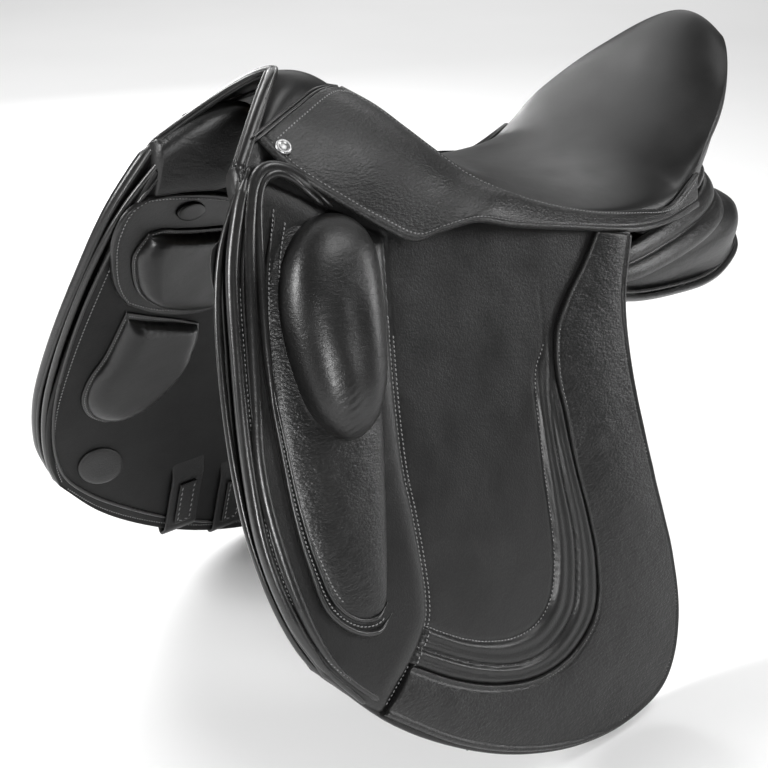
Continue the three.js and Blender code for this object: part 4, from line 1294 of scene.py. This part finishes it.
def camera_and_light():
    aim = Vector((0.100, 0.0, -0.050))
    azimuth, elevation, reach = math.radians(139.387), math.radians(23.576), 1.156
    back = Vector((math.sin(azimuth) * math.cos(elevation), -math.cos(azimuth) * math.cos(elevation),
                   math.sin(elevation)))
    data = bpy.data.cameras.new("camera")
    data.lens, data.sensor_width = 66.3, 36.0
    data.shift_x, data.shift_y = 0.0237, -0.0326
    camera = bpy.data.objects.new("camera", data)
    camera.rotation_mode = "QUATERNION"
    camera.location = aim + back * reach
    camera.rotation_quaternion = (-back).to_track_quat("-Z", "Y")
    bpy.context.scene.collection.objects.link(camera)
    bpy.context.scene.camera = camera

    right = Vector((0, 0, 1)).cross(back).normalized()

    def softbox(name, offset, size, watts, aside=None):
        lamp = bpy.data.lights.new(name, "AREA")
        lamp.shape, lamp.size, lamp.size_y, lamp.energy = "RECTANGLE", size[0], size[1], watts
        holder = bpy.data.objects.new(name, lamp)
        flat = Vector((back.x, back.y, 0)).normalized()
        holder.location = aim + right * offset[0] + Vector((0, 0, offset[1])) + flat * offset[2]
        holder.rotation_mode = "QUATERNION"
        towards = Vector(aside) if aside else aim - holder.location
        holder.rotation_quaternion = towards.to_track_quat("-Z", "Y")
        bpy.context.scene.collection.objects.link(holder)
    softbox("key", (-1.5, 0.9, 0.6), (0.28, 0.95), 33)
    softbox("rim", (1.6, 0.5, -0.1), (0.3, 0.9), 11)
    softbox("top_left", (-1.3, 1.7, -1.1), (0.7, 0.7), 14)
    softbox("top_right", (1.0, 1.9, 0.1), (1.0, 0.7), 16)
    softbox("front", (0.3, 0.25, 1.2), (0.2, 0.28), 8)
    softbox("far_side", (-0.75, 0.65, -1.8), (0.9, 0.45), 16)
    softbox("backdrop", (0.0, 2.4, -3.4), (6.0, 3.0), 100, aside=(0, 0, -2.2))

    world = bpy.data.worlds.new("studio")
    world.use_nodes = True
    world.node_tree.nodes["Background"].inputs["Color"].default_value = (1, 1, 1, 1)
    world.node_tree.nodes["Background"].inputs["Strength"].default_value = 0.1
    bpy.context.scene.world = world
    bpy.context.scene.view_settings.view_transform = "Standard"


def floor():
    """A plain pale floor under the lower edges of the flaps."""
    size, level = 6.0, CAD_LOW.z - 0.004
    mesh = bpy.data.meshes.new("floor")
    mesh.from_pydata([(-size, -size, level), (size, -size, level), (size, size, level), (-size, size, level)],
                     [], [(0, 1, 2, 3)])
    n = Nodes("pale_floor")
    n.put(n.shader.inputs["Base Color"], n.mix(n.noise(400.0, 2.0), grey(0.86), grey(0.9)))
    n.shader.inputs["Roughness"].default_value = 0.9
    mesh.materials.append(n.material)
    plane = bpy.data.objects.new("floor", mesh)
    bpy.context.scene.collection.objects.link(plane)


# ---- assembly ----

camera_and_light()
floor()
finish_cad_nodes()

single("seat", seat_shape(), SEAT, ("seat_cover", "seat_foam"))
single("pommel_leather", pommel_cover_shape(), SEAT, ("pommel_cover",))
welts, arch_band = pommel_trim()
single("pommel_seam_welts", welts, EDGE)
single("pommel_band", arch_band, EDGE, ("pommel_welt",))
single("cantle_back", cantle_shape(), SEAT, ("cantle_cover",))
single("cantle_roll", rear_trim(), EDGE, ("rear_roll",))

skirt_body, skirt_sewing = skirt_parts()
pair("skirt_leather", skirt_body, SKIRT, "skirt", ("skirt_top", "skirt"))
pair("seat_seam_welt", seat_seam_shape(), STRAP, "tree")
pair("skirt_stitches", skirt_sewing, THREADS, "skirt")
pair("nail_ring", nail_shape(), DULL_STEEL, "tree", ("nail_head",))

pair("flap_leather", flap_leather_shape(), SMOOTH, "flap",
     ("flap", "flap_head", "flap_channel"))
border_body, border_sewing = border_parts()
pair("flap_border_leather", border_body, GRAIN, "flap", ("flap_border",))
pair("flap_border_stitches", border_sewing, THREADS, "flap")
pair("flap_stitches", flap_stitch_rows(), THREADS, "flap")
pair("flap_front_rolls", front_rolls_shape(), EDGE, "flap", ("edge_roll",))
pair("flap_front_stitches", front_stitches(), THREADS, "flap")
pair("block_surround", surround_shape(), EDGE, "flap")
pair("block_pillow", block_base_shape(), GRAIN, "flap", ("block_base",))
pair("thigh_block_body", thigh_block_shape(), BLOCK, "flap", ("thigh_block",))

sweat_body, sweat_sewing = sweat_shape()
pair("sweat_leather", sweat_body, SWEAT, "flap", ("sweat_flap",))
pair("sweat_stitches", sweat_sewing, THREADS, "flap")
pair("sweat_bindings", inner_edge_rolls(), EDGE, "flap")
backing_body, backing_sewing = backing_shape()
pair("pad_plate", backing_body, SMOOTH, "flap", ("pad_backing",))
pair("pad_plate_stitches", backing_sewing, THREADS, "flap")
for label, area, size, base, seed in (("upper", upper_pad_area(), UPPER_PAD_SIZE, BACKING_INNER, 31),
                                      ("lower", lower_pad_area(), LOWER_PAD_SIZE, SWEAT_INNER, 37)):
    rim, body, sewing = cushion_shape(area, size, base - 0.4, seed)
    pair(f"{label}_pillow", body, PAD, "flap", (f"{label}_pad",))
    pair(f"{label}_pillow_flange", rim, PAD, "flap")
    pair(f"{label}_pillow_stitches", sewing, THREADS, "flap")
pair("pad_patch", disc_shape(222, 93.5, 13.5, BACKING_INNER - 0.4, BACKING_INNER - 2.8, 0.6, 0.45), SMOOTH,
     "flap", ("pad_disc",))
pair("low_patch", disc_shape(259, -155, 21, SWEAT_INNER - 0.4, SWEAT_INNER - 2.4, 1.05, 0.4), SMOOTH,
     "flap", ("pad_button",))
for label, place in zip(("front", "rear"), SLOTS):
    strap, tab, sewing = billet_parts(*place)
    pair(f"girth_strap_{label}", strap, STRAP, "flap", (f"billet_{label}",))
    pair(f"strap_keeper_{label}", tab, STRAP, "flap", (f"billet_tab_{label}",))
    pair(f"strap_stitches_{label}", sewing, THREADS, "flap")

pair("panel_cushion", panel_shape(), PANEL, "tree", ("panel",))
pair("gusset_rolls", gusset_shape(), GRAIN, "tree", ("rear_gusset",))
pair("panel_cord_edge", panel_piping_shape(), EDGE, "tree", ("panel_piping",))
